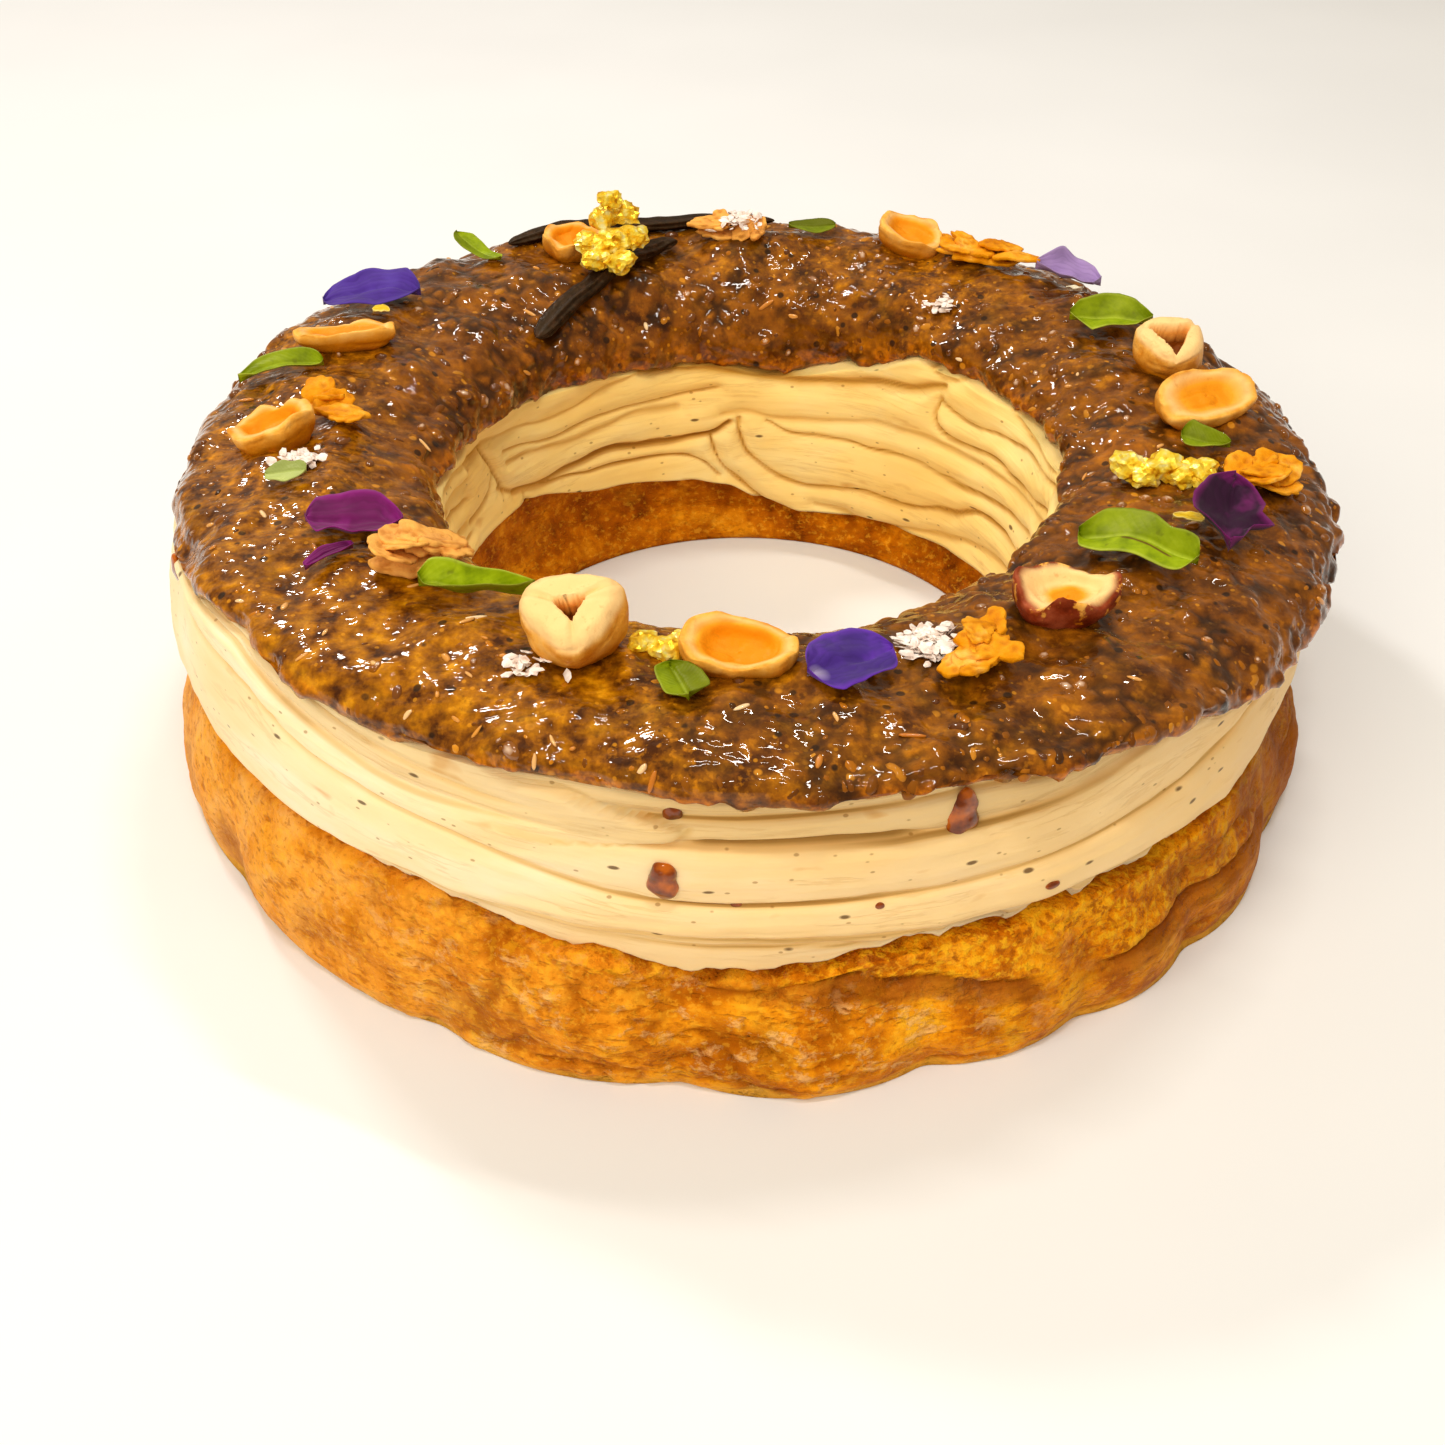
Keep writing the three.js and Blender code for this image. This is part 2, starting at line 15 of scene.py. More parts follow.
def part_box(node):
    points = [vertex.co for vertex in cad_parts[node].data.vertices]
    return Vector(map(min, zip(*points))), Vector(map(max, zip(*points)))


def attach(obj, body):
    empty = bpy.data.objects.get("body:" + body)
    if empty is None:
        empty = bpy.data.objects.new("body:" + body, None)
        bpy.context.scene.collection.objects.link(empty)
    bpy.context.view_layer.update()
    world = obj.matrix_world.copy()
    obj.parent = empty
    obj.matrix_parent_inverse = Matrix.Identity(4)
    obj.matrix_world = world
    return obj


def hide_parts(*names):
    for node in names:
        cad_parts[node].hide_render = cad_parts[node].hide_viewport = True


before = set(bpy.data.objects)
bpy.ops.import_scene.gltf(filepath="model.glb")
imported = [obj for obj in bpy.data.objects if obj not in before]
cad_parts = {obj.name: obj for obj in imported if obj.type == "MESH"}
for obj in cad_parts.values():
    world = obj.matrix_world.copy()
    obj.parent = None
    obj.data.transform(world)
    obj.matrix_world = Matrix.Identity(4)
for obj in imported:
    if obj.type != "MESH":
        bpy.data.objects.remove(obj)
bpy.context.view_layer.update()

rng = np.random.default_rng(41)

# ---- Driving dimensions, the same as in the solids ---------------------------------------------
CAD_STEPS = 80  # sections round each solid ring
GAP = 0.35  # between the rings

BASE_BULGE = 1.2
BASE_TAPER = 4.5
BASE_WALL_RADIUS = 58.5
BASE_FOOT_RADIUS = 52.5
BASE_CUT_INNER = 22.5

CREAM_RADIUS = 103.2
CREAM_HOLE_RADIUS = 54.5
CREAM_SHIFT = 1
CREAM_RIDGE = 1.7

CAP_LIP = 1.2
CAP_ROUND_OUTER = 0.85
CAP_ROUND_INNER = 0.95
CAP_LUMP = 1.1

# Strokes of the base: the degrees where each starts and how far it swells.
BASE_LOBES = [
    (12, 2.5), (36, 3), (60, 2), (86, 3), (112, 2), (136, 3), (160, 2), (184, 2), (214, 1.5),
    (242, 3), (264, 4.5), (285, 2.5), (299, 3), (313, 2.5), (330, 3.5), (350, 2.5),
]
# From here on, (degrees, value) pairs that go once round the ring.
BASE_RADIUS = [
    (0, 103.5), (90, 105), (180, 107.3), (225, 107), (270, 108), (315, 107.5), (342, 104),
]
BASE_CUT_OUTER = [
    (0, 26), (90, 24), (180, 24), (212, 23.5), (225, 25.5), (242, 25), (254, 22), (268, 19.5),
    (284, 23.5), (312, 23), (325, 24.5),
]
CAP_HOLE_RADIUS = [
    (0, 59.5), (30, 62), (60, 62.5), (90, 59), (125, 54.5), (160, 53), (195, 56.5), (235, 61),
    (270, 60.5), (300, 57), (330, 56.5),
]
CAP_RADIUS = [
    (0, 106.5), (60, 105), (125, 104), (150, 103.5), (175, 101.5), (200, 101), (235, 103),
    (300, 106.5),
]
CAP_EDGE_INNER = [
    (0, 46), (25, 45), (53, 45), (64, 41), (82, 37.5), (103, 40.5), (125, 43), (154, 45),
    (195, 50), (235, 47.5), (270, 44), (300, 44), (330, 46),
]
CAP_EDGE_OUTER = [
    (0, 44), (60, 44.5), (125, 47), (165, 49.5), (195, 53), (220, 57), (240, 53), (255, 55),
    (270, 54), (285, 55), (303, 52.5), (325, 45.5), (345, 44),
]
CAP_CREST = [
    (0, 54), (60, 56.5), (90, 58), (120, 59.5), (150, 60.5), (180, 60), (235, 61.5), (270, 61),
    (300, 58.5), (330, 55.5),
]
CREAM_LIP = [
    (20, 10.5), (36, 9.5), (51, 8), (76, 7), (85, 9), (94, 13), (102, 15), (121, 17),
    (146, 22.5), (169, 22.8), (200, 22.8), (240, 20), (300, 16), (340, 12),
]
# Shares of the inner wall's height where its strokes meet.
GROOVES_INSIDE = [0.18, 0.36, 0.54, 0.72, 0.88]


# ---- Numbers and noise -------------------------------------------------------------------------
def ease(t):
    """0 to 1 with a soft start and end."""
    return t * t * (3 - 2 * t)


def lerp(a, b, t):
    """The value that share of the way from a to b."""
    return a + (b - a) * t


def bell(away, width):
    """1 at no distance, fading over about the width."""
    return np.exp(-(away / width) ** 2)


def step(t, low, high):
    """0 below low, 1 above high, eased between."""
    return ease(np.clip((t - low) / (high - low), 0, 1))


def softer(a, b, reach):
    """The smaller of two numbers, with the change from one to the other rounded off."""
    gap = np.clip(0.5 + 0.5 * (b - a) / reach, 0, 1)
    return lerp(b, a, gap) - reach * gap * (1 - gap)


def scatter(x, y, z):
    """A fixed number between -1 and 1 for each whole point of space."""
    mixed = np.sin(x * 127.1 + y * 311.7 + z * 74.7) * 43758.5453
    return 2 * (mixed - np.floor(mixed)) - 1


def noise(x, y, z):
    """Smooth noise between -1 and 1, with lumps about one unit across."""
    x, y, z = np.broadcast_arrays(x, y, z)
    i, j, k = np.floor(x), np.floor(y), np.floor(z)
    u, v, w = ease(x - i), ease(y - j), ease(z - k)

    def row(b, c):
        return lerp(scatter(i, b, c), scatter(i + 1, b, c), u)

    def plane(c):
        return lerp(row(j, c), row(j + 1, c), v)

    return lerp(plane(k), plane(k + 1), w)


def turn_noise(degrees, per, y, z):
    """Noise along the turn that closes on itself over the last section of the solid rings."""
    last = 360 - 360 / CAD_STEPS
    share = np.clip((degrees - last) / (360 - last), 0, 1)
    return lerp(noise(degrees / per, y, z), noise((degrees - 360) / per, y, z), share)


def around(keys, degrees):
    """A value at any angle, eased between (degrees, value) pairs that go once round."""
    closed = [(keys[-1][0] - 360, keys[-1][1]), *keys, (keys[0][0] + 360, keys[0][1])]
    angles, values = np.array(closed, float).T
    turn = np.mod(degrees, 360.0)
    index = np.clip(np.searchsorted(angles, turn, side="right") - 1, 0, len(closed) - 2)
    share = (turn - angles[index]) / (angles[index + 1] - angles[index])
    return lerp(values[index], values[index + 1], ease(share))


def flowing(keys, degrees):
    """Like around, but one smooth curve through all the pairs."""
    before = [(angle - 360, value) for angle, value in keys[-2:]]
    after = [(angle + 360, value) for angle, value in keys[:2]]
    angles, values = np.array([*before, *keys, *after], float).T
    slopes = np.gradient(values, angles)
    turn = np.mod(degrees, 360.0)
    index = np.clip(np.searchsorted(angles, turn, side="right") - 1, 0, len(angles) - 2)
    width = angles[index + 1] - angles[index]
    t = (turn - angles[index]) / width
    bent = t * (1 - t) * width * (slopes[index] * (1 - t) - slopes[index + 1] * t)
    return lerp(values[index], values[index + 1], ease(t)) + bent


def cells(points, size, seed):
    """Distance to the nearest and second nearest of one scattered point per cell, in cells."""
    scaled = points / size
    whole = np.floor(scaled)
    near = second = np.full(points.shape[:-1], 9.0)
    for di in (-1, 0, 1):
        for dj in (-1, 0, 1):
            for dk in (-1, 0, 1):
                cell = whole + (di, dj, dk)
                x, y, z = cell[..., 0], cell[..., 1], cell[..., 2]
                seeds = np.stack(
                    [scatter(x + seed, y, z), scatter(x, y + seed, z), scatter(x, y, z + seed)], -1)
                distance = np.linalg.norm(cell + 0.5 + 0.42 * seeds - scaled, axis=-1)
                second = np.minimum(second, np.maximum(near, distance))
                near = np.minimum(near, distance)
    return near, second


def lumps(points, size, seed=0.0):
    """Smooth noise at points, with lumps of about that many millimetres."""
    scaled = points / size + seed
    return noise(scaled[..., 0], scaled[..., 1], scaled[..., 2])


def curve_through(keys, count):
    """Points on a smooth curve through the keys, evenly spaced along them."""
    keys = np.array(keys, float)
    keys = np.concatenate([2 * keys[:1] - keys[1:2], keys, 2 * keys[-1:] - keys[-2:-1]])
    t = np.linspace(0, len(keys) - 3, count)
    index = np.minimum(t.astype(int), len(keys) - 4)
    u = (t - index)[:, None]
    a, b, c, d = (keys[index + offset] for offset in range(4))
    return 0.5 * (2 * b + (c - a) * u + (2 * a - 5 * b + 4 * c - d) * u ** 2
                  + (3 * b - a - 3 * c + d) * u ** 3)


# ---- Meshes ------------------------------------------------------------------------------------
def grid_faces(rows, columns, wrap_rows=True, wrap_columns=True):
    """Four-sided faces between the points of a grid, which may close on itself."""
    i, j = np.meshgrid(
        np.arange(rows if wrap_rows else rows - 1),
        np.arange(columns if wrap_columns else columns - 1),
        indexing="ij",
    )
    ii, jj = (i + 1) % rows, (j + 1) % columns
    corners = [i * columns + j, ii * columns + j, ii * columns + jj, i * columns + jj]
    return np.stack(corners, -1).reshape(-1, 4)


def grid_normals(points, wrap_rows=True, wrap_columns=True):
    """Directions straight out of a grid of points."""
    def slope(axis, wrap):
        if wrap:
            return np.roll(points, -1, axis) - np.roll(points, 1, axis)
        return np.gradient(points, axis=axis)

    normals = np.cross(slope(0, wrap_rows), slope(1, wrap_columns))
    return normals / np.maximum(np.linalg.norm(normals, axis=-1, keepdims=True), 1e-9)


def make(name, points, faces, material, slot, stands_for=(), smooth=True, **values):
    """A piece from points in millimetres and faces of one kind, with numbers for its points."""
    shape = points.shape[:-1]
    points = points.reshape(-1, 3)
    mesh = bpy.data.meshes.new(name)
    mesh.vertices.add(len(points))
    mesh.vertices.foreach_set("co", ((points + SHIFT) / 1000).ravel())
    mesh.loops.add(faces.size)
    mesh.loops.foreach_set("vertex_index", faces.ravel().astype(np.int32))
    mesh.polygons.add(len(faces))
    starts = np.arange(0, faces.size, faces.shape[1], dtype=np.int32)
    mesh.polygons.foreach_set("loop_start", starts)
    mesh.polygons.foreach_set("use_smooth", np.full(len(faces), smooth))
    mesh.update(calc_edges=True)
    mesh.validate()
    for key, value in values.items():
        attribute = mesh.attributes.new(key, "FLOAT", "POINT")
        numbers = np.broadcast_to(value, shape).ravel()
        attribute.data.foreach_set("value", numbers.astype(np.float32))
    mesh.materials.append(material)
    piece = bpy.data.objects.new(name, mesh)
    bpy.context.scene.collection.objects.link(piece)
    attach(piece, "root")
    if stands_for:
        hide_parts(*stands_for)


def ball(level):
    """Points and faces of a ball of radius 1 made of even triangles."""
    made = bmesh.new()
    bmesh.ops.create_icosphere(made, subdivisions=level, radius=1)
    points = np.array([vertex.co[:] for vertex in made.verts])
    faces = np.array([[vertex.index for vertex in face.verts] for face in made.faces])
    made.free()
    return points, faces


def turned(points, *steps):
    """The points turned by each of the (degrees, axis) steps in turn."""
    for degrees, axis in steps:
        points = points @ np.array(Matrix.Rotation(math.radians(degrees), 3, axis)).T
    return points


def joined(meshes, faces):
    """Meshes with the same faces as one: points and faces."""
    first = np.arange(len(meshes)) * len(meshes[0])
    return np.concatenate(meshes), (faces[None] + first[:, None, None]).reshape(-1, 3)


def frames(normals, angles):
    """Matrices whose third row is each normal, turned about it by the angles."""
    helper = np.where(np.abs(normals[:, 2:3]) < 0.9, [[0, 0, 1]], [[1, 0, 0]])
    first = np.cross(helper, normals)
    first /= np.linalg.norm(first, axis=1, keepdims=True)
    second = np.cross(normals, first)
    c, s = np.cos(angles)[:, None], np.sin(angles)[:, None]
    return np.stack([first * c + second * s, second * c - first * s, normals], 1)


def copies(places, normals, sizes, rough):
    """Many uneven balls as one mesh: points and faces."""
    points, faces = ball(2)
    count = len(places)
    apart = np.arange(count)[:, None, None] * 3.7
    uneven = 1 + rough * lumps(points[None] * 1.1 + apart, 1.0)[..., None]
    local = points[None] * uneven * sizes[:, None, :]
    placed = np.einsum("nvi,nij->nvj", local, frames(normals, rng.uniform(0, 2 * np.pi, count)))
    return joined(placed + places[:, None, :], faces)


# ---- The rings' sections, as the solids have them ----------------------------------------------
def lobe(degrees):
    """Swell of the base's strokes, and how near the crease between two of them lies."""
    starts = np.array([start for start, _ in BASE_LOBES] + [BASE_LOBES[0][0] + 360.0])
    swells = np.array([swell for _, swell in BASE_LOBES])
    turn = np.mod(degrees - starts[0], 360) + starts[0]
    index = np.clip(np.searchsorted(starts, turn, side="right") - 1, 0, len(swells) - 1)
    share = (turn - starts[index]) / (starts[index + 1] - starts[index])
    arch = np.power(np.sin(np.pi * np.clip(share, 0, 1)), 0.6)
    return swells[index] * (arch - 0.5), 1 - arch


def base_section(degrees):
    """Radius and height of the base's outline at each angle, from the foot of its inner wall."""
    cut = around(BASE_CUT_OUTER, degrees)
    swell, _ = lobe(degrees)
    foot = around(BASE_RADIUS, degrees)

    def rough(height):
        return turn_noise(degrees, 9, height / 6, 5)

    side = [(0.1, 0.8, 1), (0.26, 1, 1), (0.46, 0.6, 0.9), (0.64, -0.5, 0.7), (0.82, -1.9, 0.5)]
    loop = [(BASE_FOOT_RADIUS + 0.5 + 0 * cut, 0 * cut), (foot + swell, 0 * cut)]
    for share, out, lobed in side:
        height = share * cut
        loop.append((foot + out * BASE_BULGE + lobed * swell + 0.7 * rough(height), height))
    loop += [
        (foot - BASE_TAPER + 1 + 0.3 * swell, cut - 0.6),
        (foot - BASE_TAPER, cut),
        (BASE_WALL_RADIUS + 0 * cut, BASE_CUT_INNER + 0 * cut),
        (BASE_WALL_RADIUS + 0.5 + 0 * cut, 0.6 * BASE_CUT_INNER + 0 * cut),
        (BASE_WALL_RADIUS - 1.5 + 0 * cut, 5.5 + 0 * cut),
        (BASE_FOOT_RADIUS + 0.4 * rough(90 + 0 * cut), 2 + 0 * cut),
    ]
    return np.stack([np.stack(point, -1) for point in loop], 1)


def seam(degrees, radius):
    """The surface along which cap and cream meet."""
    inner, outer = around(CAP_HOLE_RADIUS, degrees), around(CAP_RADIUS, degrees)
    share = (radius - inner) / (outer - inner)
    return lerp(around(CAP_EDGE_INNER, degrees), around(CAP_EDGE_OUTER, degrees), share)


def cap_top(degrees, radius):
    """Height of the upper half's top."""
    inner, outer = around(CAP_HOLE_RADIUS, degrees), around(CAP_RADIUS, degrees)
    middle = (inner + outer) / 2
    outside = radius > middle
    reach = np.where(outside, outer - middle, middle - inner)
    share = np.clip(np.abs(radius - middle) / reach, 0, 1)
    rounding = np.where(outside, CAP_ROUND_OUTER, CAP_ROUND_INNER)
    rise = np.sqrt(1 - np.power(share, 2 / rounding))
    edge = np.where(outside, around(CAP_EDGE_OUTER, degrees), around(CAP_EDGE_INNER, degrees))
    angle = np.radians(degrees)
    x, y = radius * np.cos(angle), radius * np.sin(angle)
    lump = CAP_LUMP * rise * noise(x / 9, y / 9, 31)
    return lerp(edge + CAP_LIP, around(CAP_CREST, degrees), np.power(rise, rounding)) + lump


def on_cap(x, y):
    """Height of the upper half's top at a place."""
    return cap_top(np.degrees(np.arctan2(y, x)), np.hypot(x, y))


def to_points(degrees, loop):
    """Points in space of section loops (angle, point, radius and height)."""
    angle = np.radians(degrees)[:, None]
    radius, height = loop[..., 0], loop[..., 1]
    return np.stack([radius * np.cos(angle), radius * np.sin(angle), height], -1)


def turns(count):
    """Degrees of so many even steps round the ring."""
    return np.arange(count) * 360 / count


def divided(loop, counts):
    """The closed loop with each of its sides divided into so many parts."""
    following = np.roll(loop, -1, axis=1)
    parts = []
    for index, count in enumerate(counts):
        for share in np.arange(count) / count:
            parts.append(lerp(loop[:, index], following[:, index], share))
    return np.stack(parts, 1)


def softened(loop, where, passes):
    """The loop with its corners rounded where the mask is 1."""
    for _ in range(passes):
        mean = (np.roll(loop, 1, axis=1) + np.roll(loop, -1, axis=1)) / 2
        loop = lerp(loop, lerp(loop, mean, 0.5), where[None, :, None])
    return loop


# The middle of the base lies where the base's box in the frame has it.
solid_base = to_points(turns(CAD_STEPS), base_section(turns(CAD_STEPS)))
SHIFT = np.array(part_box("choux_base")[0]) * 1000 - solid_base.min(axis=(0, 1))


# ---- Shaders -----------------------------------------------------------------------------------
def linear(red, green, blue):
    """A screen colour, 0 to 255, as the shaders want it."""
    def channel(value):
        value /= 255
        return value / 12.92 if value <= 0.04045 else ((value + 0.055) / 1.055) ** 2.4

    return (channel(red), channel(green), channel(blue), 1)


# The room's warm light leaves little blue in the shine of golden and brown things.
WARM_SHINE = (1.0, 0.72, 0.34, 1)
PLAIN_SHINE = (1, 1, 1, 1)


class Shader:
    """A material with short calls for its nodes. Sizes are millimetres."""

    def __init__(self, name, shine=WARM_SHINE, **settings):
        self.material = bpy.data.materials.new(name)
        self.material.use_nodes = True
        self.tree = self.material.node_tree
        self.surface = self.tree.nodes["Principled BSDF"]
        self.space = self.tree.nodes.new("ShaderNodeTexCoord").outputs["Object"]
        self.surface.inputs["Specular Tint"].default_value = shine
        for key, value in settings.items():
            self.surface.inputs[key.replace("_", " ")].default_value = value

    def add(self, kind, inputs, **settings):
        """A node with its inputs, each a number or what comes out of another node."""
        made = self.tree.nodes.new(kind)
        for key, value in settings.items():
            setattr(made, key, value)
        for key, value in inputs.items():
            if isinstance(value, bpy.types.NodeSocket):
                self.tree.links.new(value, made.inputs[key])
            else:
                made.inputs[key].default_value = value
        return made

    def value(self, name):
        """A number stored on the mesh's points."""
        return self.add("ShaderNodeAttribute", {}, attribute_name=name).outputs["Fac"]

    def noise(self, size, detail=3.0, rough=0.5, stretch=(1, 1, 1), offset=0.0):
        """Noise with lumps of about that many millimetres."""
        place = self.add("ShaderNodeMapping", {
            "Vector": self.space, "Scale": stretch, "Location": (offset, offset, offset)})
        made = self.add("ShaderNodeTexNoise", {
            "Vector": place.outputs["Vector"], "Scale": 1000 / size, "Detail": detail,
            "Roughness": rough})
        return made.outputs["Fac"]

    def voronoi(self, size, stretch):
        """Distance to the nearest of scattered points, one per cell of that many millimetres."""
        place = self.add("ShaderNodeMapping", {"Vector": self.space, "Scale": stretch})
        made = self.add("ShaderNodeTexVoronoi", {
            "Vector": place.outputs["Vector"], "Scale": 1000 / size})
        return made.outputs["Distance"]

    def range(self, value, low, high, to_low=0.0, to_high=1.0):
        """The value's way from low to high as one from to_low to to_high."""
        made = self.add("ShaderNodeMapRange", {
            "Value": value, "From Min": low, "From Max": high, "To Min": to_low,
            "To Max": to_high})
        return made.outputs["Result"]

    def math(self, operation, a, b=0.0):
        """A sum of two values, or of one."""
        made = self.add("ShaderNodeMath", {0: a, 1: b}, operation=operation)
        return made.outputs["Value"]

    def times(self, a, b):
        return self.math("MULTIPLY", a, b)

    def away(self, value, middle):
        """How far the value is from the middle one."""
        return self.math("ABSOLUTE", self.math("SUBTRACT", value, middle))

    def ramp(self, value, stops):
        """Screen colours along the value, each stop as its place, red, green and blue."""
        made = self.add("ShaderNodeValToRGB", {"Fac": value})
        elements = made.color_ramp.elements
        while len(elements) < len(stops):
            elements.new(1)
        for element, (place, *colour) in zip(elements, stops):
            element.position = place
            element.color = linear(*colour)
        return made.outputs["Color"]

    def mix(self, share, a, b):
        """Two colours mixed, each from another node or as a screen colour of three numbers."""
        a, b = (linear(*colour) if isinstance(colour, tuple) and len(colour) == 3 else colour
                for colour in (a, b))
        made = self.add("ShaderNodeMix", {0: share, 6: a, 7: b}, data_type="RGBA")
        return made.outputs[2]

    def tint(self, colour, value, low=None, high=None, most=1.0):
        """Mixes a colour in by the value, or where the value passes from low to high."""
        share = value if low is None else self.range(value, low, high, 0, most)
        self.colour = self.mix(share, self.colour, colour)

    def bump(self, height, distance, strength=1.0, under=None):
        """A bump of that many millimetres, on top of the one under it."""
        inputs = {"Height": height, "Distance": distance / 1000, "Strength": strength}
        if under:
            inputs["Normal"] = under
        return self.add("ShaderNodeBump", inputs).outputs["Normal"]

    def link(self, value, name):
        """Joins a value to one of the surface's inputs."""
        self.tree.links.new(value, self.surface.inputs[name])

    def finished(self, normal):
        """The material with the colour built up so far and the bumps given."""
        self.link(self.colour, "Base Color")
        self.link(normal, "Normal")
        return self.material


def crust_material():
    """Baked choux: golden, peach on its pale side, browner inside the hole; painted shade in folds,
    creases, under the ledge and on the far side, and a painted highlight on the bottom edge.
    """
    shader = Shader("choux_crust", Roughness=0.6, Specular_IOR_Level=0.15)
    high, inner = shader.value("high"), shader.value("inner")
    patches = shader.noise(9, 6, 0.64)
    golden = shader.ramp(patches, [
        (0.36, 176, 90, 0), (0.45, 216, 124, 0), (0.54, 240, 150, 0), (0.64, 252, 178, 22)])
    peach = shader.ramp(patches, [(0.36, 232, 146, 26), (0.5, 240, 162, 56), (0.66, 246, 178, 86)])
    inside = shader.ramp(patches, [
        (0.34, 104, 44, 0), (0.46, 168, 86, 0), (0.56, 206, 118, 2), (0.68, 236, 154, 18)])
    shader.colour = shader.mix(shader.value("peach"), golden, peach)
    shader.tint(inside, inner)
    streaks = shader.noise(2.4, 5, 0.65, (0.3, 0.3, 1.6))
    shader.tint((186, 98, 0), streaks, 0.48, 0.34, 0.35)
    # Darker where the crust folds in and lighter where it swells: browning and painted shade in the
    # folds, painted light on the swells.
    shader.tint((158, 78, 0), high, 0.45, 0.05, 0.7)
    shader.tint((250, 182, 34), high, 0.6, 1.0, 0.4)
    flecks = shader.noise(5, 5, 0.7, (1, 1, 1.5), 9.0)
    pale = shader.times(shader.value("light"), shader.range(flecks, 0.55, 0.63))
    shader.tint((242, 190, 120), shader.times(pale, 0.6))
    dents = shader.range(shader.noise(2.2, 3, 0.55, (0.5, 0.5, 1.5), 4.0), 0.58, 0.66)
    shader.tint((186, 98, 2), shader.times(dents, 0.6))
    grit = shader.noise(1.4, 4, 0.62, (1, 1, 1.3), 14.0)
    shader.tint((168, 84, 0), grit, 0.44, 0.34, 0.5)
    shader.tint((250, 184, 48), grit, 0.54, 0.62, 0.35)
    folds = shader.noise(7, 3, 0.55, (0.6, 0.6, 1.5), 17.0)
    fold = shader.range(shader.away(folds, 0.5), 0.04, 0.008)
    fold = shader.times(fold, shader.range(flecks, 0.44, 0.52))
    fold = shader.times(fold, shader.value("wrinkled"))
    # Browning and painted shade along the fold lines.
    shader.tint((150, 72, 0), shader.times(fold, 0.3))
    crumbs, crumbly = shader.noise(1.5, 3, 0.55, offset=5.0), shader.value("crumbly")
    # Painted highlights on the raised crumbs and painted shade in the pits between them.
    crumb_highlight = shader.times(crumbly, shader.range(crumbs, 0.52, 0.6))
    shader.tint((248, 186, 30), shader.times(crumb_highlight, 0.7))
    pits = shader.times(crumbly, shader.range(crumbs, 0.44, 0.36))
    shader.tint((150, 70, 0), shader.times(pits, 0.7))
    # Browner crust with painted shade from the overhang in the band under the ledge; the syrup
    # stains take the same brown.
    band = shader.mix(shader.range(streaks, 0.4, 0.6), (118, 56, 6), (180, 104, 28))
    shader.tint(band, shader.value("band"))
    shader.tint(band, shader.value("stain"))
    # Painted shade under the ledge and in the folds and creases between the strokes, with some
    # browning there.
    shader.tint((118, 50, 0), shader.value("dark"), 0.05, 1.0, 0.8)
    # Painted shade on the side away from the lamps.
    shader.tint((134, 66, 0), shader.value("far"))
    # A painted highlight along the thin bottom edge of the crust.
    shader.tint((250, 192, 70), shader.value("height"), 1.5, 0.4, 0.5)
    raised = shader.times(crumbs, shader.math("ADD", crumbly, 0.3))
    raised = shader.math("ADD", raised, shader.times(grit, 0.4))
    raised = shader.math("SUBTRACT", raised, shader.times(dents, 0.4))
    raised = shader.math("SUBTRACT", raised, shader.times(fold, 0.4))
    raised = shader.math("ADD", raised, shader.times(pale, 0.3))
    coarse = shader.bump(raised, 0.9, 0.7)
    coarse = shader.bump(shader.noise(2.6, 4, 0.6), 0.9, 0.5, coarse)
    return shader.finished(shader.bump(shader.noise(0.8, 3, 0.65), 0.25, 0.6, coarse))


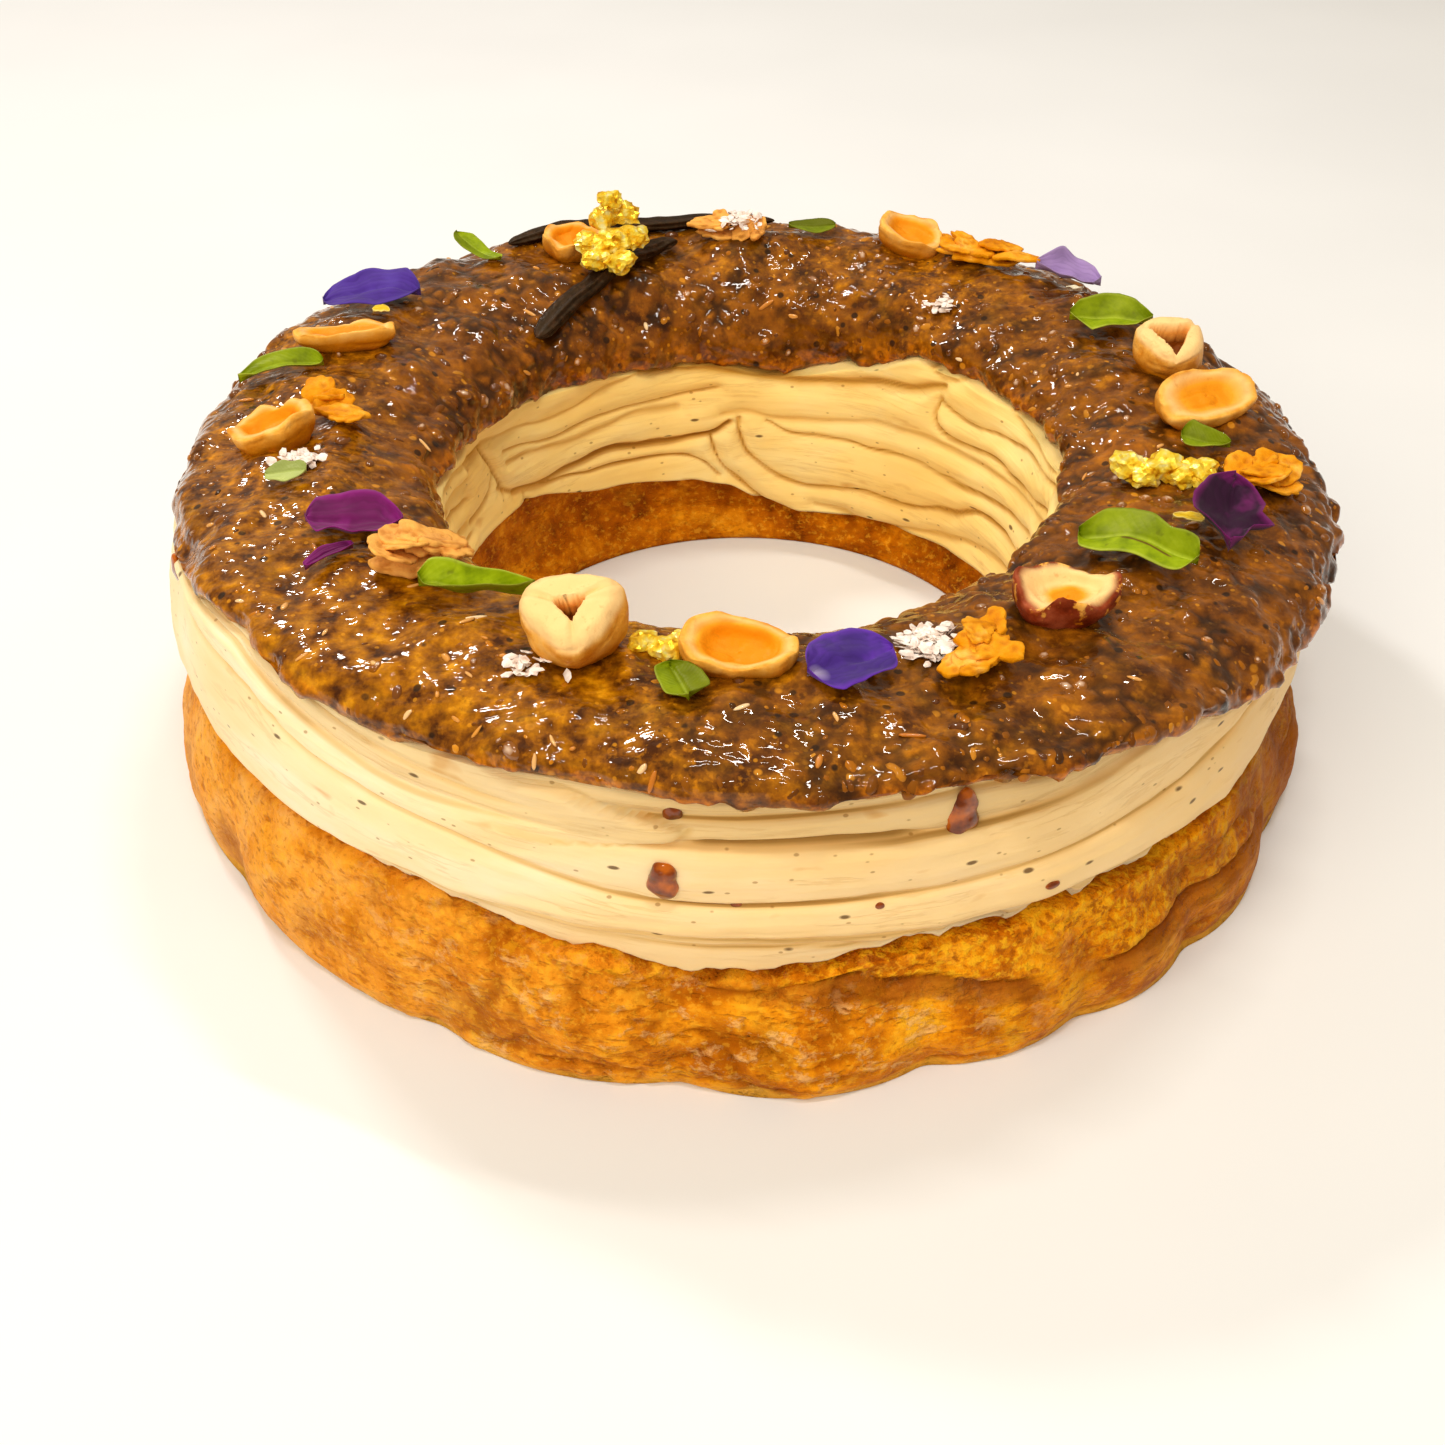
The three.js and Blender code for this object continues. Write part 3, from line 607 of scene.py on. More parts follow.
def cream_material():
    """Vanilla cream with creases and painted shade in them, painted shade under the glaze, faint
    streaks and specks of vanilla.
    """
    shader = Shader("piped_cream", Roughness=0.5, Specular_IOR_Level=0.25, Subsurface_Weight=0.2,
                    Subsurface_Scale=0.0014)
    shader.surface.inputs["Subsurface Radius"].default_value = (1.0, 0.8, 0.5)
    groove, hem, within = shader.value("groove"), shader.value("hem"), shader.value("within")
    tone = shader.noise(26, 3, 0.5, (1, 1, 2.4))
    shader.colour = shader.ramp(tone, [
        (0.3, 248, 222, 168), (0.5, 251, 231, 184), (0.7, 253, 238, 204)])
    warm = shader.ramp(tone, [(0.3, 248, 208, 120), (0.5, 254, 220, 138), (0.7, 255, 230, 160)])
    shader.tint((244, 200, 130), shader.times(shader.value("warmth"), 0.8))
    shader.tint(warm, within)
    shader.tint((222, 208, 176), hem, 0.2, 1, 0.75)
    # Painted shade on the upper strokes, tucked under the glaze.
    shader.tint((222, 192, 136), shader.value("recess"), 0, 1, 0.6)
    where = shader.add("ShaderNodeSeparateXYZ", {"Vector": shader.space})
    x, y = (shader.times(where.outputs[axis], 36.0) for axis in "XY")
    level = shader.times(shader.value("level"), 3.6)
    place = shader.add("ShaderNodeCombineXYZ", {"X": x, "Y": y, "Z": level})
    flow = shader.add("ShaderNodeTexNoise", {
        "Vector": place.outputs["Vector"], "Scale": 1.0, "Detail": 4.0, "Roughness": 0.6})
    flow = flow.outputs["Fac"]
    thread = shader.range(shader.away(flow, 0.46), 0.026, 0.006)
    here_and_there = shader.range(shader.noise(9, 2, 0.5, (0.4, 0.4, 1), 12.0), 0.46, 0.54)
    thread = shader.times(thread, here_and_there)
    shader.tint((244, 206, 134), flow, 0.54, 0.66, 0.22)
    shader.tint((204, 152, 76), shader.times(thread, 0.2))
    # Painted shade in the creases, darker where they run deep.
    faint_crease_shade = shader.mix(within, (224, 184, 112), (206, 150, 50))
    shader.tint(faint_crease_shade, groove, 0.12, 0.7, 0.8)
    deep = shader.mix(within, (160, 116, 48), (150, 92, 8))
    shader.tint(deep, groove, 0.6, 1.05, 0.85)
    specks = shader.voronoi(6.5, stretch=(0.6, 0.6, 1.5))
    shader.tint((84, 52, 22), specks, 0.1, 0.06, 0.85)
    tiny = shader.voronoi(3.1, stretch=(0.7, 0.7, 1.3))
    shader.tint((150, 104, 44), tiny, 0.11, 0.07, 0.6)
    spills = shader.noise(7, 2, 0.5, (0.6, 0.6, 1.6), 5.0)
    shader.tint((206, 140, 52), spills, 0.68, 0.76, 0.5)
    lines = shader.math("SUBTRACT", flow, shader.times(thread, 0.2))
    coarse = shader.bump(lines, 0.5, 0.5)
    return shader.finished(shader.bump(shader.noise(0.8, 3, 0.6), 0.1, 0.3, coarse))


def spots(shader, size, share, reach, offset=0.0):
    """1 in round spots, one in some of the cells of that many millimetres."""
    place = shader.add("ShaderNodeMapping", {
        "Vector": shader.space, "Location": (offset, offset, offset)})
    cell = shader.add("ShaderNodeTexVoronoi", {
        "Vector": place.outputs["Vector"], "Scale": 1000 / size})
    lot = shader.add("ShaderNodeSeparateColor", {"Color": cell.outputs["Color"]})
    chosen = shader.range(lot.outputs["Red"], share, share - 0.04)
    near = shader.range(cell.outputs["Distance"], reach, 0.7 * reach)
    return shader.times(chosen, near)


def glaze_material():
    """Praline glaze: golden caramel where tone is 0, duller and browner where it is 1, with painted
    shade in its crevices.
    """
    shader = Shader("praline_glaze", Roughness=0.5, Specular_IOR_Level=0.1, Coat_Weight=1.0,
                    Coat_Roughness=0.035, Coat_IOR=1.33)
    tone = shader.value("tone")
    patches = shader.noise(3.8, 4, 0.58)
    gold = shader.ramp(patches, [
        (0.34, 66, 28, 0), (0.42, 112, 60, 0), (0.5, 146, 86, 0), (0.6, 182, 114, 0),
        (0.7, 222, 150, 14)])
    dull = shader.ramp(shader.noise(6.5, 4, 0.55, offset=11.0), [
        (0.32, 58, 24, 0), (0.44, 104, 54, 6), (0.54, 128, 71, 8), (0.64, 148, 84, 10),
        (0.74, 180, 104, 12)])
    dull = shader.mix(shader.range(patches, 0.44, 0.34, 0, 0.5), dull, (62, 28, 4))
    dull = shader.mix(shader.range(patches, 0.56, 0.7, 0, 0.5), dull, (188, 110, 12))
    shader.colour = shader.mix(tone, gold, dull)
    fine_tone = shader.noise(1.5, 3, 0.55, offset=2.0)
    grainy = shader.range(tone, 0, 0.3, 0.2, 0.65)
    grainy = shader.times(grainy, shader.range(tone, 0.4, 0.75, 1, 0.3))
    darker = shader.times(grainy, shader.range(fine_tone, 0.45, 0.34))
    shader.tint((46, 18, 0), darker)
    lighter = shader.times(grainy, shader.range(fine_tone, 0.56, 0.68, 0, 0.8))
    shader.tint((226, 142, 16), lighter)
    shader.tint((226, 150, 26), shader.times(spots(shader, 1.4, 0.14, 0.3), 0.5))
    shader.tint((22, 14, 8), shader.times(spots(shader, 2.6, 0.14, 0.32, 7.0), 0.85))
    shader.tint((220, 144, 30), shader.times(spots(shader, 3.2, 0.12, 0.26, 3.0), 0.7))
    # Painted shade in the crevices between the lumps.
    shader.tint((36, 15, 2), shader.value("pit"), 0.1, 1, 0.8)
    rim = shader.mix(shader.range(fine_tone, 0.42, 0.58), (122, 50, 0), (204, 112, 4))
    edge = shader.times(shader.value("edge"), shader.range(patches, 0.42, 0.6, 0, 0.75))
    shader.tint(rim, edge)
    wet = shader.noise(1.5, 1, 0.4, (0.6, 1, 1))
    wet = shader.times(wet, shader.range(tone, 0.15, 0.6, 1, 0.45))
    coarse = shader.bump(wet, 0.55, 0.75)
    shader.link(coarse, "Coat Normal")
    return shader.finished(shader.bump(fine_tone, 0.25, 0.6, coarse))


def grain_material():
    """Chopped praline under a little syrup."""
    shader = Shader("praline_grain", Roughness=0.45, Specular_IOR_Level=0.15, Coat_Weight=0.8,
                    Coat_Roughness=0.05, Coat_IOR=1.3)
    shader.colour = shader.ramp(shader.value("shade"), [
        (0.0, 32, 16, 4), (0.05, 96, 48, 2), (0.4, 132, 74, 4), (0.7, 156, 90, 8),
        (0.9, 192, 114, 10), (1.0, 218, 146, 40)])
    shader.tint((104, 56, 14), shader.value("tone"), 0, 1, 0.45)
    return shader.finished(shader.bump(shader.noise(0.9, 2, 0.5), 0.12, 0.4))


def nut_material(name, skin):
    """A toasted hazelnut: pale outside, orange hollow, with red-brown skin where it is kept, and
    painted shade underneath and deep in a torn hole.
    """
    shader = Shader(name, Roughness=0.5, Specular_IOR_Level=0.3)
    face, rim, under = shader.value("face"), shader.value("rim"), shader.value("under")
    patches = shader.noise(4, 4, 0.6)
    outside = shader.ramp(patches, [
        (0.3, 214, 132, 30), (0.5, 246, 178, 72), (0.72, 253, 200, 110)])
    # Painted shade on the lower side of the nut.
    outside = shader.mix(shader.range(under, 0, 0.8, 0, 0.95), outside, (200, 118, 0))
    if skin:
        torn = shader.range(shader.noise(4, 4, 0.6, offset=2.0), 0.55, 0.6)
        brown = shader.ramp(patches, [(0.3, 82, 14, 4), (0.5, 134, 48, 20), (0.72, 172, 84, 52)])
        outside = shader.mix(torn, brown, outside)
    toasted = shader.ramp(face, [
        (0.0, 253, 210, 142), (0.4, 244, 178, 90), (0.75, 244, 160, 34), (1.0, 232, 142, 12)])
    shader.colour = shader.mix(rim, outside, toasted)
    hole = shader.value("hole")
    # Orange toasted walls in the hole, with painted shade deep inside it.
    shader.tint((222, 140, 30), hole, 0.05, 0.5, 0.8)
    shader.tint((110, 50, 2), hole, 0.5, 1.0)
    blotches = shader.noise(1.6, 4, 0.65, offset=4.0)
    shader.tint((190, 112, 24), blotches, 0.6, 0.75, 0.35)
    coarse = shader.bump(shader.noise(2.0, 4, 0.6), 0.4, 0.5)
    return shader.finished(shader.bump(shader.noise(0.5, 3, 0.6), 0.06, 0.4, coarse))


def leaf_material():
    """A green leaf, paler along its middle and its edges, with painted shade on one half and along
    a fold.
    """
    shader = Shader("leaf_green", Roughness=0.45, Specular_IOR_Level=0.25)
    across, along, pale = shader.value("across"), shader.value("along"), shader.value("pale")
    patches = shader.noise(4, 3, 0.6)
    shader.colour = shader.ramp(patches, [
        (0.3, 108, 130, 2), (0.5, 140, 162, 4), (0.72, 164, 184, 24)])
    shader.tint((186, 200, 70), across, 0.14, 0.0, 0.4)
    shader.tint((188, 198, 84), across, 0.86, 1.0, 0.45)
    shader.tint((184, 196, 128), pale)
    # Darker leaves, and painted shade on one half of each leaf.
    shader.tint((88, 98, 2), shader.value("deep"))
    spotted = shader.noise(2.4, 2, 0.5, offset=6.0)
    shader.tint((84, 92, 4), spotted, 0.66, 0.74, 0.5)
    # A painted line of shade along a fold.
    shader.tint((92, 44, 24), shader.value("line"), 0.3, 0.8, 0.9)
    slant = shader.math("ADD", along, shader.times(across, 0.3))
    veins = shader.math("ABSOLUTE", shader.math("SINE", shader.times(slant, 40.0)))
    coarse = shader.bump(veins, 0.07, 0.3)
    return shader.finished(shader.bump(shader.noise(0.7, 3, 0.6), 0.08, 0.4, coarse))


def petal_material(name, body, edge, white=0):
    """A viola petal: its colour, that of its edge, and how white its eye is."""
    shader = Shader(name, PLAIN_SHINE, Roughness=0.7, Specular_IOR_Level=0.15, Sheen_Weight=0.1)
    across, along, eye = shader.value("across"), shader.value("along"), shader.value("eye")
    spread = shader.math("ADD", across, shader.times(shader.noise(5, 2), 0.9))
    veins = shader.math("SINE", shader.times(spread, 26.0))
    dark = tuple(0.55 * channel for channel in linear(*body)[:3]) + (1,)
    shader.colour = shader.mix(shader.range(veins, 0.3, 1.0, 0, 0.3), body, dark)
    mottle = shader.noise(6, 3, 0.5)
    shader.tint(dark, mottle, 0.52, 0.3, 0.5)
    shader.tint(edge, mottle, 0.52, 0.7, 0.6)
    shader.tint(edge, across, 0.8, 1.0, 0.7)
    shader.tint(edge, shader.away(along, 0.5), 0.42, 0.5, 0.7)
    shader.tint((216, 204, 220), eye, 3.6, 1.2, white)
    coarse = shader.bump(veins, 0.05, 0.35)
    return shader.finished(shader.bump(shader.noise(0.5, 3, 0.6), 0.05, 0.4, coarse))


def crisp_material():
    """Orange crisp with darker pores."""
    shader = Shader("crisp_flake", Roughness=0.55, Specular_IOR_Level=0.2)
    patches = shader.noise(4.5, 4, 0.6)
    shader.colour = shader.ramp(patches, [
        (0.3, 206, 122, 0), (0.45, 228, 146, 6), (0.58, 242, 166, 34), (0.72, 250, 190, 88)])
    shader.tint((252, 202, 130), shader.times(shader.value("light"), 0.55))
    shader.tint((176, 92, 4), shader.times(shader.value("pore"), 0.6))
    coarse = shader.bump(shader.noise(1.4, 4, 0.65), 0.45, 0.6)
    return shader.finished(shader.bump(shader.noise(0.5, 3, 0.6), 0.1, 0.5, coarse))


def gold_material():
    """Creased gold leaf, light and dark yellow, in patches that are painted highlight and painted
    crease shade.
    """
    shader = Shader("gold_leaf", Metallic=0.35, Roughness=0.28)
    # Patches of painted highlight and painted crease shade.
    gold_light_and_shade = shader.noise(2.2, 2, 0.6)
    shader.colour = shader.ramp(gold_light_and_shade, [
        (0.3, 196, 126, 6), (0.42, 246, 200, 36), (0.56, 255, 228, 84), (0.68, 255, 248, 170)])
    return shader.finished(shader.bump(shader.noise(0.8, 3, 0.6), 0.12, 0.5))


def vanilla_material():
    """A dark brown, dry pod."""
    shader = Shader("vanilla_pod", Roughness=0.5, Specular_IOR_Level=0.25)
    lengthwise = shader.noise(2.2, 4, 0.6)
    shader.colour = shader.ramp(lengthwise, [
        (0.35, 26, 14, 8), (0.55, 46, 28, 16), (0.75, 78, 50, 32)])
    return shader.finished(shader.bump(lengthwise, 0.5, 0.8))


def caramel_material():
    """Brown caramel with a wet skin."""
    shader = Shader("caramel_drop", Roughness=0.3, Specular_IOR_Level=0.2, Coat_Weight=1.0,
                    Coat_Roughness=0.03, Coat_IOR=1.5)
    swirl = shader.noise(3, 3, 0.5)
    shader.colour = shader.ramp(swirl, [(0.36, 92, 32, 0), (0.5, 134, 56, 0), (0.66, 188, 92, 0)])
    shader.link(shader.bump(shader.noise(1.6, 1, 0.4, offset=3.0), 0.5, 0.7), "Coat Normal")
    return shader.finished(shader.bump(swirl, 0.15, 0.3))


def crystal_material():
    """Clouded white salt."""
    shader = Shader("salt_flake", PLAIN_SHINE, Roughness=0.35, Specular_IOR_Level=0.4)
    cloud = shader.noise(1.5, 3, 0.6)
    shader.colour = shader.ramp(cloud, [
        (0.35, 226, 202, 186), (0.5, 246, 232, 222), (0.65, 254, 248, 242)])
    return shader.finished(shader.bump(cloud, 0.2, 0.5))


def sliver_material():
    """Pale nut under a little syrup."""
    shader = Shader("nut_sliver", PLAIN_SHINE, Roughness=0.38, Specular_IOR_Level=0.4,
                    Coat_Weight=0.6, Coat_Roughness=0.1)
    shader.colour = shader.ramp(shader.value("shade"), [
        (0.0, 190, 108, 12), (0.5, 216, 144, 50), (0.8, 232, 178, 108), (1.0, 246, 216, 170)])
    return shader.finished(shader.bump(shader.noise(0.7, 3, 0.6), 0.12, 0.5))


# ---- The lower half ----------------------------------------------------------------------------
BASE_TURNS = 960
BASE_DIVISIONS = [5, 4, 9, 11, 10, 10, 7, 4, 6, 10, 9, 6, 3]  # rows in each side of the outline
BASE_MIDDLE = 80  # radius between its inner and outer walls
# 1 where the crust is pale peach, 0 where it is baked golden.
PEACH = [(0, 0), (60, 0.2), (150, 0.5), (185, 1), (225, 0.9), (250, 0.35), (268, 0.1), (300, 0)]
WRINKLED = [(0, 0.4), (90, 0.5), (170, 0.2), (225, 0.16), (244, 0.5), (258, 0.85), (276, 0.85),
            (290, 0.4), (330, 0.35)]
CRUMBLY = [(0, 0.6), (90, 0.4), (180, 0), (236, 0), (262, 0.8), (330, 1)]
# A ledge where the smooth lower strokes stand out from the crumbly cut above: height and strength.
LEDGE = [(0, 15), (40, 17), (90, 15), (150, 19), (210, 21), (262, 21), (278, 19.5), (290, 15.5),
         (304, 12), (322, 12.5), (342, 15)]
LEDGE_STRENGTH = [(0, 0.8), (45, 0.4), (95, 0.7), (140, 0.2), (200, 0), (262, 0.1), (280, 0.9),
                  (305, 1), (330, 0.9)]
# How much of the crust is blotched with pale, pinkish dough.
PALE = [(0, 0.3), (90, 0.4), (190, 0.3), (235, 0.5), (250, 1), (282, 1), (300, 0.25)]
# Painted shade: how much darker the crust is made on the side away from the lamps.
SHADED_SIDE = [(0, 0.75), (60, 0.35), (180, 0), (285, 0), (310, 0.25), (335, 0.7)]
# Brown stains of syrup on the crust: degrees, height, and reach along and up.
STAINS = [(314, 18, 7, 4), (323, 20, 4, 6), (336, 15, 3, 7), (20, 14, 8, 5)]


def rounded_off(loop, passes):
    """The loops with sudden changes round the ring smoothed."""
    for _ in range(passes):
        loop = (np.roll(loop, 1, axis=0) + 2 * loop + np.roll(loop, -1, axis=0)) / 4
    return loop


def build_base():
    """The lower half, with its strokes, folds, ledge and crumbly cut."""
    degrees = turns(BASE_TURNS)
    column = degrees[:, None]
    loop = rounded_off(divided(base_section(degrees), BASE_DIVISIONS), 10)
    index = np.arange(loop.shape[1])
    starts = np.cumsum([0] + BASE_DIVISIONS)
    exposed = ((index > starts[1]) & (index <= starts[8])) | (index >= starts[9])
    loop = softened(loop, exposed.astype(float), 8)
    points = to_points(degrees, loop)
    normals = grid_normals(points)
    height = points[..., 2]
    outer = (points[..., 0] ** 2 + points[..., 1] ** 2 > BASE_MIDDLE ** 2).astype(float)
    wrinkled = around(WRINKLED, column)

    _, crease = lobe(column)
    crease = crease * step(height, 18, 5) * (0.5 + 0.5 * lumps(points, 7, 3.0)) * outer

    above = height - around(LEDGE, column) - 1.2 * lumps(points, 14, 21.0)
    above = above - 0.5 * lumps(points, 4, 22.0)
    strength = around(LEDGE_STRENGTH, column) * outer
    strength = strength * step(lumps(points, 17, 31.0), -0.5, 0.05)
    recess = strength * step(above, -0.2, 0.4)
    undercut = strength * step(above, -3.6, 0.0) * step(above, 0.7, 0.2)
    band = strength * step(above, -3.8, -2.6) * step(above, 0.5, 0.0)
    rim = step(height, 18, 22) * outer * around(CRUMBLY, column)
    crumbly = np.maximum(step(above, 0, 1.5) * strength, rim)

    warp = 3.4 * np.stack([lumps(points, 8, seed) for seed in (1.0, 2.0, 3.0)], -1)
    flat = (points + warp) * (1, 1, 1.5)
    broken = step(lumps(points, 8, 41.0), -0.5, 0.1)
    large = np.exp(-np.abs(lumps(flat, 9.5, 11.0)) / 0.16) * broken
    small = np.exp(-np.abs(lumps(flat, 4.6, 2.0)) / 0.16) * step(lumps(points, 6, 43.0), -0.3, 0.3)
    relief = (
        0.8 * lumps(points, 9, 1.0)
        - wrinkled * (1.3 * large + 0.7 * small)
        + wrinkled * 0.35 * lumps(flat, 2.8, 2.0)
        + 0.3 * crumbly * lumps(points, 2.6, 6.0)
        + 0.1 * lumps(points, 1.6, 4.0)
        - 0.7 * crease ** 2
        - 0.9 * recess
        - 1.3 * undercut
        - 0.1
    )
    points = points + normals * (relief * exposed[None])[..., None]
    points[..., 2] = np.maximum(points[..., 2], 0)
    # dark: painted shade under the ledge and in folds and creases, with some browning. high:
    # lighter on the swells and darker in the folds, painted light and shade.
    dark = np.clip(0.9 * undercut ** 3 + wrinkled * 0.7 * large ** 2 + 0.7 * crease ** 1.5, 0, 1)
    high = np.clip(0.55 + 0.35 * lumps(points, 9, 1.0) - wrinkled * (0.7 * large + 0.6 * small)
                   + 0.3 * wrinkled * lumps(flat, 2.8, 2.0), 0, 1)
    light = around(PALE, column) * outer * (1 - crumbly)
    stain = 0 * height
    for angle, level, wide, high_reach in STAINS:
        away = np.hypot((column - angle) / wide, (height - level) / high_reach)
        stain = np.maximum(stain, step(away + 0.5 * lumps(points, 3, 12.0), 1.1, 0.4))
    # height is raised inside the hole so the painted highlight stays on the outer bottom edge; far
    # is painted shade on the side away from the lamps.
    make("choux_crust", points, grid_faces(*points.shape[:2]), crust_material(), "choux",
         ["choux_base"], dark=dark, high=high, peach=around(PEACH, column) * outer,
         crumbly=crumbly, light=light, band=0.8 * band, stain=0.6 * stain * outer,
         inner=1 - outer, wrinkled=np.clip(1.2 * wrinkled + 0.1, 0, 1) * (1 - 0.6 * crumbly),
         height=height + 9 * (1 - outer), far=around(SHADED_SIDE, column) * outer)


# ---- The cream ---------------------------------------------------------------------------------
CREAM_TURNS = 560
CREAM_ROWS_PER_STROKE = [8, 10, 24, 20, 16, 16]
CREAM_ROWS_OUTSIDE = 1 + sum(CREAM_ROWS_PER_STROKE)
CREAM_ROWS_INSIDE = 66
CREAM_ROWS_HIDDEN = 3
STROKE_SHARPNESS = 2.6

# The creases between the outer strokes, from the lowest up: heights round the ring, how much
# further out the stroke above a crease lies, and how deep and wide the crease is.
CREASES = [
    dict(path=[(0, 27.6), (90, 26), (180, 26), (212, 25.4), (226, 26.9), (241, 26.7), (254, 26),
               (268, 25.1), (286, 24.7), (303, 24.2), (322, 22)], out=0.9, deep=0.6, wide=0.45),
    dict(path=[(0, 30.5), (60, 29), (120, 30), (180, 28.5), (225, 27.9), (241, 28.9), (255, 28.2),
               (268, 28.4), (285, 27.3), (297, 26.4), (308, 26.8), (322, 24.5), (340, 28)],
         out=1.9, deep=0.7, wide=0.5),
    dict(path=[(0, 37.5), (60, 36), (120, 38), (180, 45), (205, 50), (217, 49.9), (223, 47.8),
               (229.5, 44.7), (236.5, 42.8), (245, 41), (254, 37.3), (262, 35), (274, 34.6),
               (293, 34.3), (304, 35.7), (314, 37.5), (322, 41), (340, 39)],
         out=-0.4, deep=0.7, wide=0.55),
    dict(path=[(0, 41.2), (60, 40.5), (120, 43), (180, 48.5), (205, 53.5), (218, 56), (224, 52.2),
               (232, 48.9), (238, 46.6), (252, 46.2), (266, 44.7), (276, 44.4), (288.6, 44),
               (299.6, 45.4), (306, 48), (313, 51.5), (325, 46.5), (340, 42.5)],
         out=-1.7, deep=0.6, wide=0.6, gap=[(263, 0), (267, 1), (281, 1), (287, 0)]),
    dict(path=[(0, 44.5), (60, 44), (120, 46.5), (180, 53), (218, 59), (227, 55), (236, 50.8),
               (248, 48.6), (256, 49.4), (264, 49.2), (277, 50), (290, 50.2), (297, 48.6),
               (305, 52)],
         out=-0.7, deep=0.5, wide=0.5),
]
HEM_OUT = -2.2

# The creases of the inner wall where the photo shows it: (degrees, height) from end to end, and
# how deep and wide each one is.
LINES = [
    dict(path=[(150, 36.5), (143, 35), (133, 33), (120, 34.3), (107, 34), (95, 35)],
         deep=0.6, wide=0.5),
    dict(path=[(157, 41.5), (146, 39.5), (132, 37.5), (122, 39.5), (112, 41)], deep=0.4, wide=0.6),
    dict(path=[(147, 25.5), (140, 24), (130, 24.3), (120, 25.5), (107, 24), (98, 25), (92.5, 27)],
         deep=1.4, wide=1.0),
    dict(path=[(153, 29), (145, 25), (134, 22.8), (123, 21.7), (105, 21), (99, 19), (95, 15)],
         deep=0.8, wide=0.6),
    dict(path=[(158, 41), (155, 35), (152, 29.5), (150.5, 27)], deep=0.9, wide=0.6),
    dict(path=[(157, 41), (163, 41), (172, 43), (182, 46)], deep=0.7, wide=0.6),
    dict(path=[(154.5, 33.5), (158, 29.5), (168, 29), (180, 32)], deep=0.7, wide=0.6),
    dict(path=[(145, 25), (144, 20)], deep=0.5, wide=0.4),
    dict(path=[(149, 33.5), (139, 32), (131, 30.3), (122, 31), (114, 32.4), (104, 32)],
         deep=0.35, wide=1.2),
    dict(path=[(97, 25), (95, 19), (91.5, 14), (86, 9.5), (80, 6)], deep=0.9, wide=0.6),
    dict(path=[(90.5, 28), (90, 24.5), (87.5, 19.5), (82, 15), (74, 12.8), (62, 14.4), (52, 13.8),
               (40, 17), (27, 22), (12, 21.7), (-4, 22)], deep=0.9, wide=0.7),
    dict(path=[(84, 27.5), (79, 25.4), (68, 24.5), (53, 24.7), (38, 24.4), (22, 26.4), (-4, 30)],
         deep=0.8, wide=0.6),
    dict(path=[(94, 29.3), (87, 29.5), (78, 28), (60, 30), (40, 31), (20, 32), (-4, 36)],
         deep=0.5, wide=1.0),
    dict(path=[(46, 39.5), (46.3, 36), (44, 33.6), (38, 33.2), (26, 34.3), (20, 33.6), (11, 35),
               (-4, 39)], deep=1.0, wide=0.6),
    dict(path=[(46.4, 39), (38, 37.9), (31, 38.3), (23, 40), (8, 41.6), (-4, 45)],
         deep=0.8, wide=0.55),
    dict(path=[(34, 47), (30, 46), (24, 43.8), (11, 43.7), (0, 46)], deep=0.5, wide=0.5),
    dict(path=[(112, 41), (101, 39.6), (90, 38), (76, 36.5), (64, 37.8), (52, 40), (46, 42)],
         deep=1.1, wide=1.1),
    dict(path=[(51, 45.5), (47, 43.8), (42, 45), (38, 47.5)], deep=0.6, wide=0.5),
    dict(path=[(72, 9), (58, 7.5), (44, 10), (30, 14.5), (14, 16), (-4, 16)], deep=0.5, wide=0.8),
]
LINES_SHOWN = (-2, 165)  # degrees between which the lines take the place of plain strokes
PILLOW_HEIGHT = 1.3
PILLOW_REACH = 2.2
# How dark the painted crease shade is round the ring.
CREASE_SHADE_SHARE = [(0, 1), (180, 0.6), (240, 0.7), (262, 1.1)]  # how dark the creases look
# How much warmer the cream looks on the side turned away from the window.
WARMTH = [(0, 1), (60, 0.6), (180, 0), (228, 0), (248, 0.2), (268, 0.7), (292, 0.7), (330, 1)]
# How grey and thin the hem under the lowest crease looks.
HEM_GREY = [(0, 0.6), (180, 0.6), (235, 0.5), (268, 0.35), (290, 1), (320, 1)]
# Where the hem is a thin film up to the second crease.
HEM_FILM = [(0, 0), (278, 0), (290, 1), (328, 1), (345, 0)]
BELLIES = [0.2, 0.3, 0.9, 0.7, 0.6, 0.4]  # how far each stroke swells, from the lowest up
# How far the cream keeps back below the glaze, inside the hole and outside.
TUCKED = [(0, 0), (88, 0), (108, 2), (205, 2), (225, 0)]
TUCKED_OUTSIDE = [(0, 0), (155, 0), (172, 2.2), (196, 2.2), (214, 0.6), (232, 0)]
CREASE_WANDER = 0.35
CORNER_REACH = 7  # how far the corners of the strokes laid over others are rounded

# Strokes that lie over the others. Each runs from its start towards smaller angles, where it
# fades by its end; start, top and bottom are (height, degrees) and (degrees, height) pairs.
OVER_INSIDE = [
    dict(start=[(24, 262), (28, 268), (33, 268), (38, 262)], end=205, lift=1.2,
         top=[(205, 36), (268, 38)], bottom=[(205, 22), (268, 24)], ridges=[3.6]),
]
OVER_OUTSIDE = [
    dict(start=[(44, 256), (46, 264), (48, 264.5), (51, 257)], end=243, lift=1.1,
         top=[(243, 53), (266, 50)], bottom=[(243, 47), (251, 45.5), (258, 44.6), (266, 45.4)]),
    dict(start=[(26, 128), (30, 133), (36, 133), (40, 127)], end=60, lift=1.0,
         top=[(60, 38), (134, 40)], bottom=[(60, 28), (134, 26)], ridges=[5]),
]


def unwound(degrees):
    """Degrees past 200 as those below zero."""
    return np.where(degrees > 200, degrees - 360, degrees)


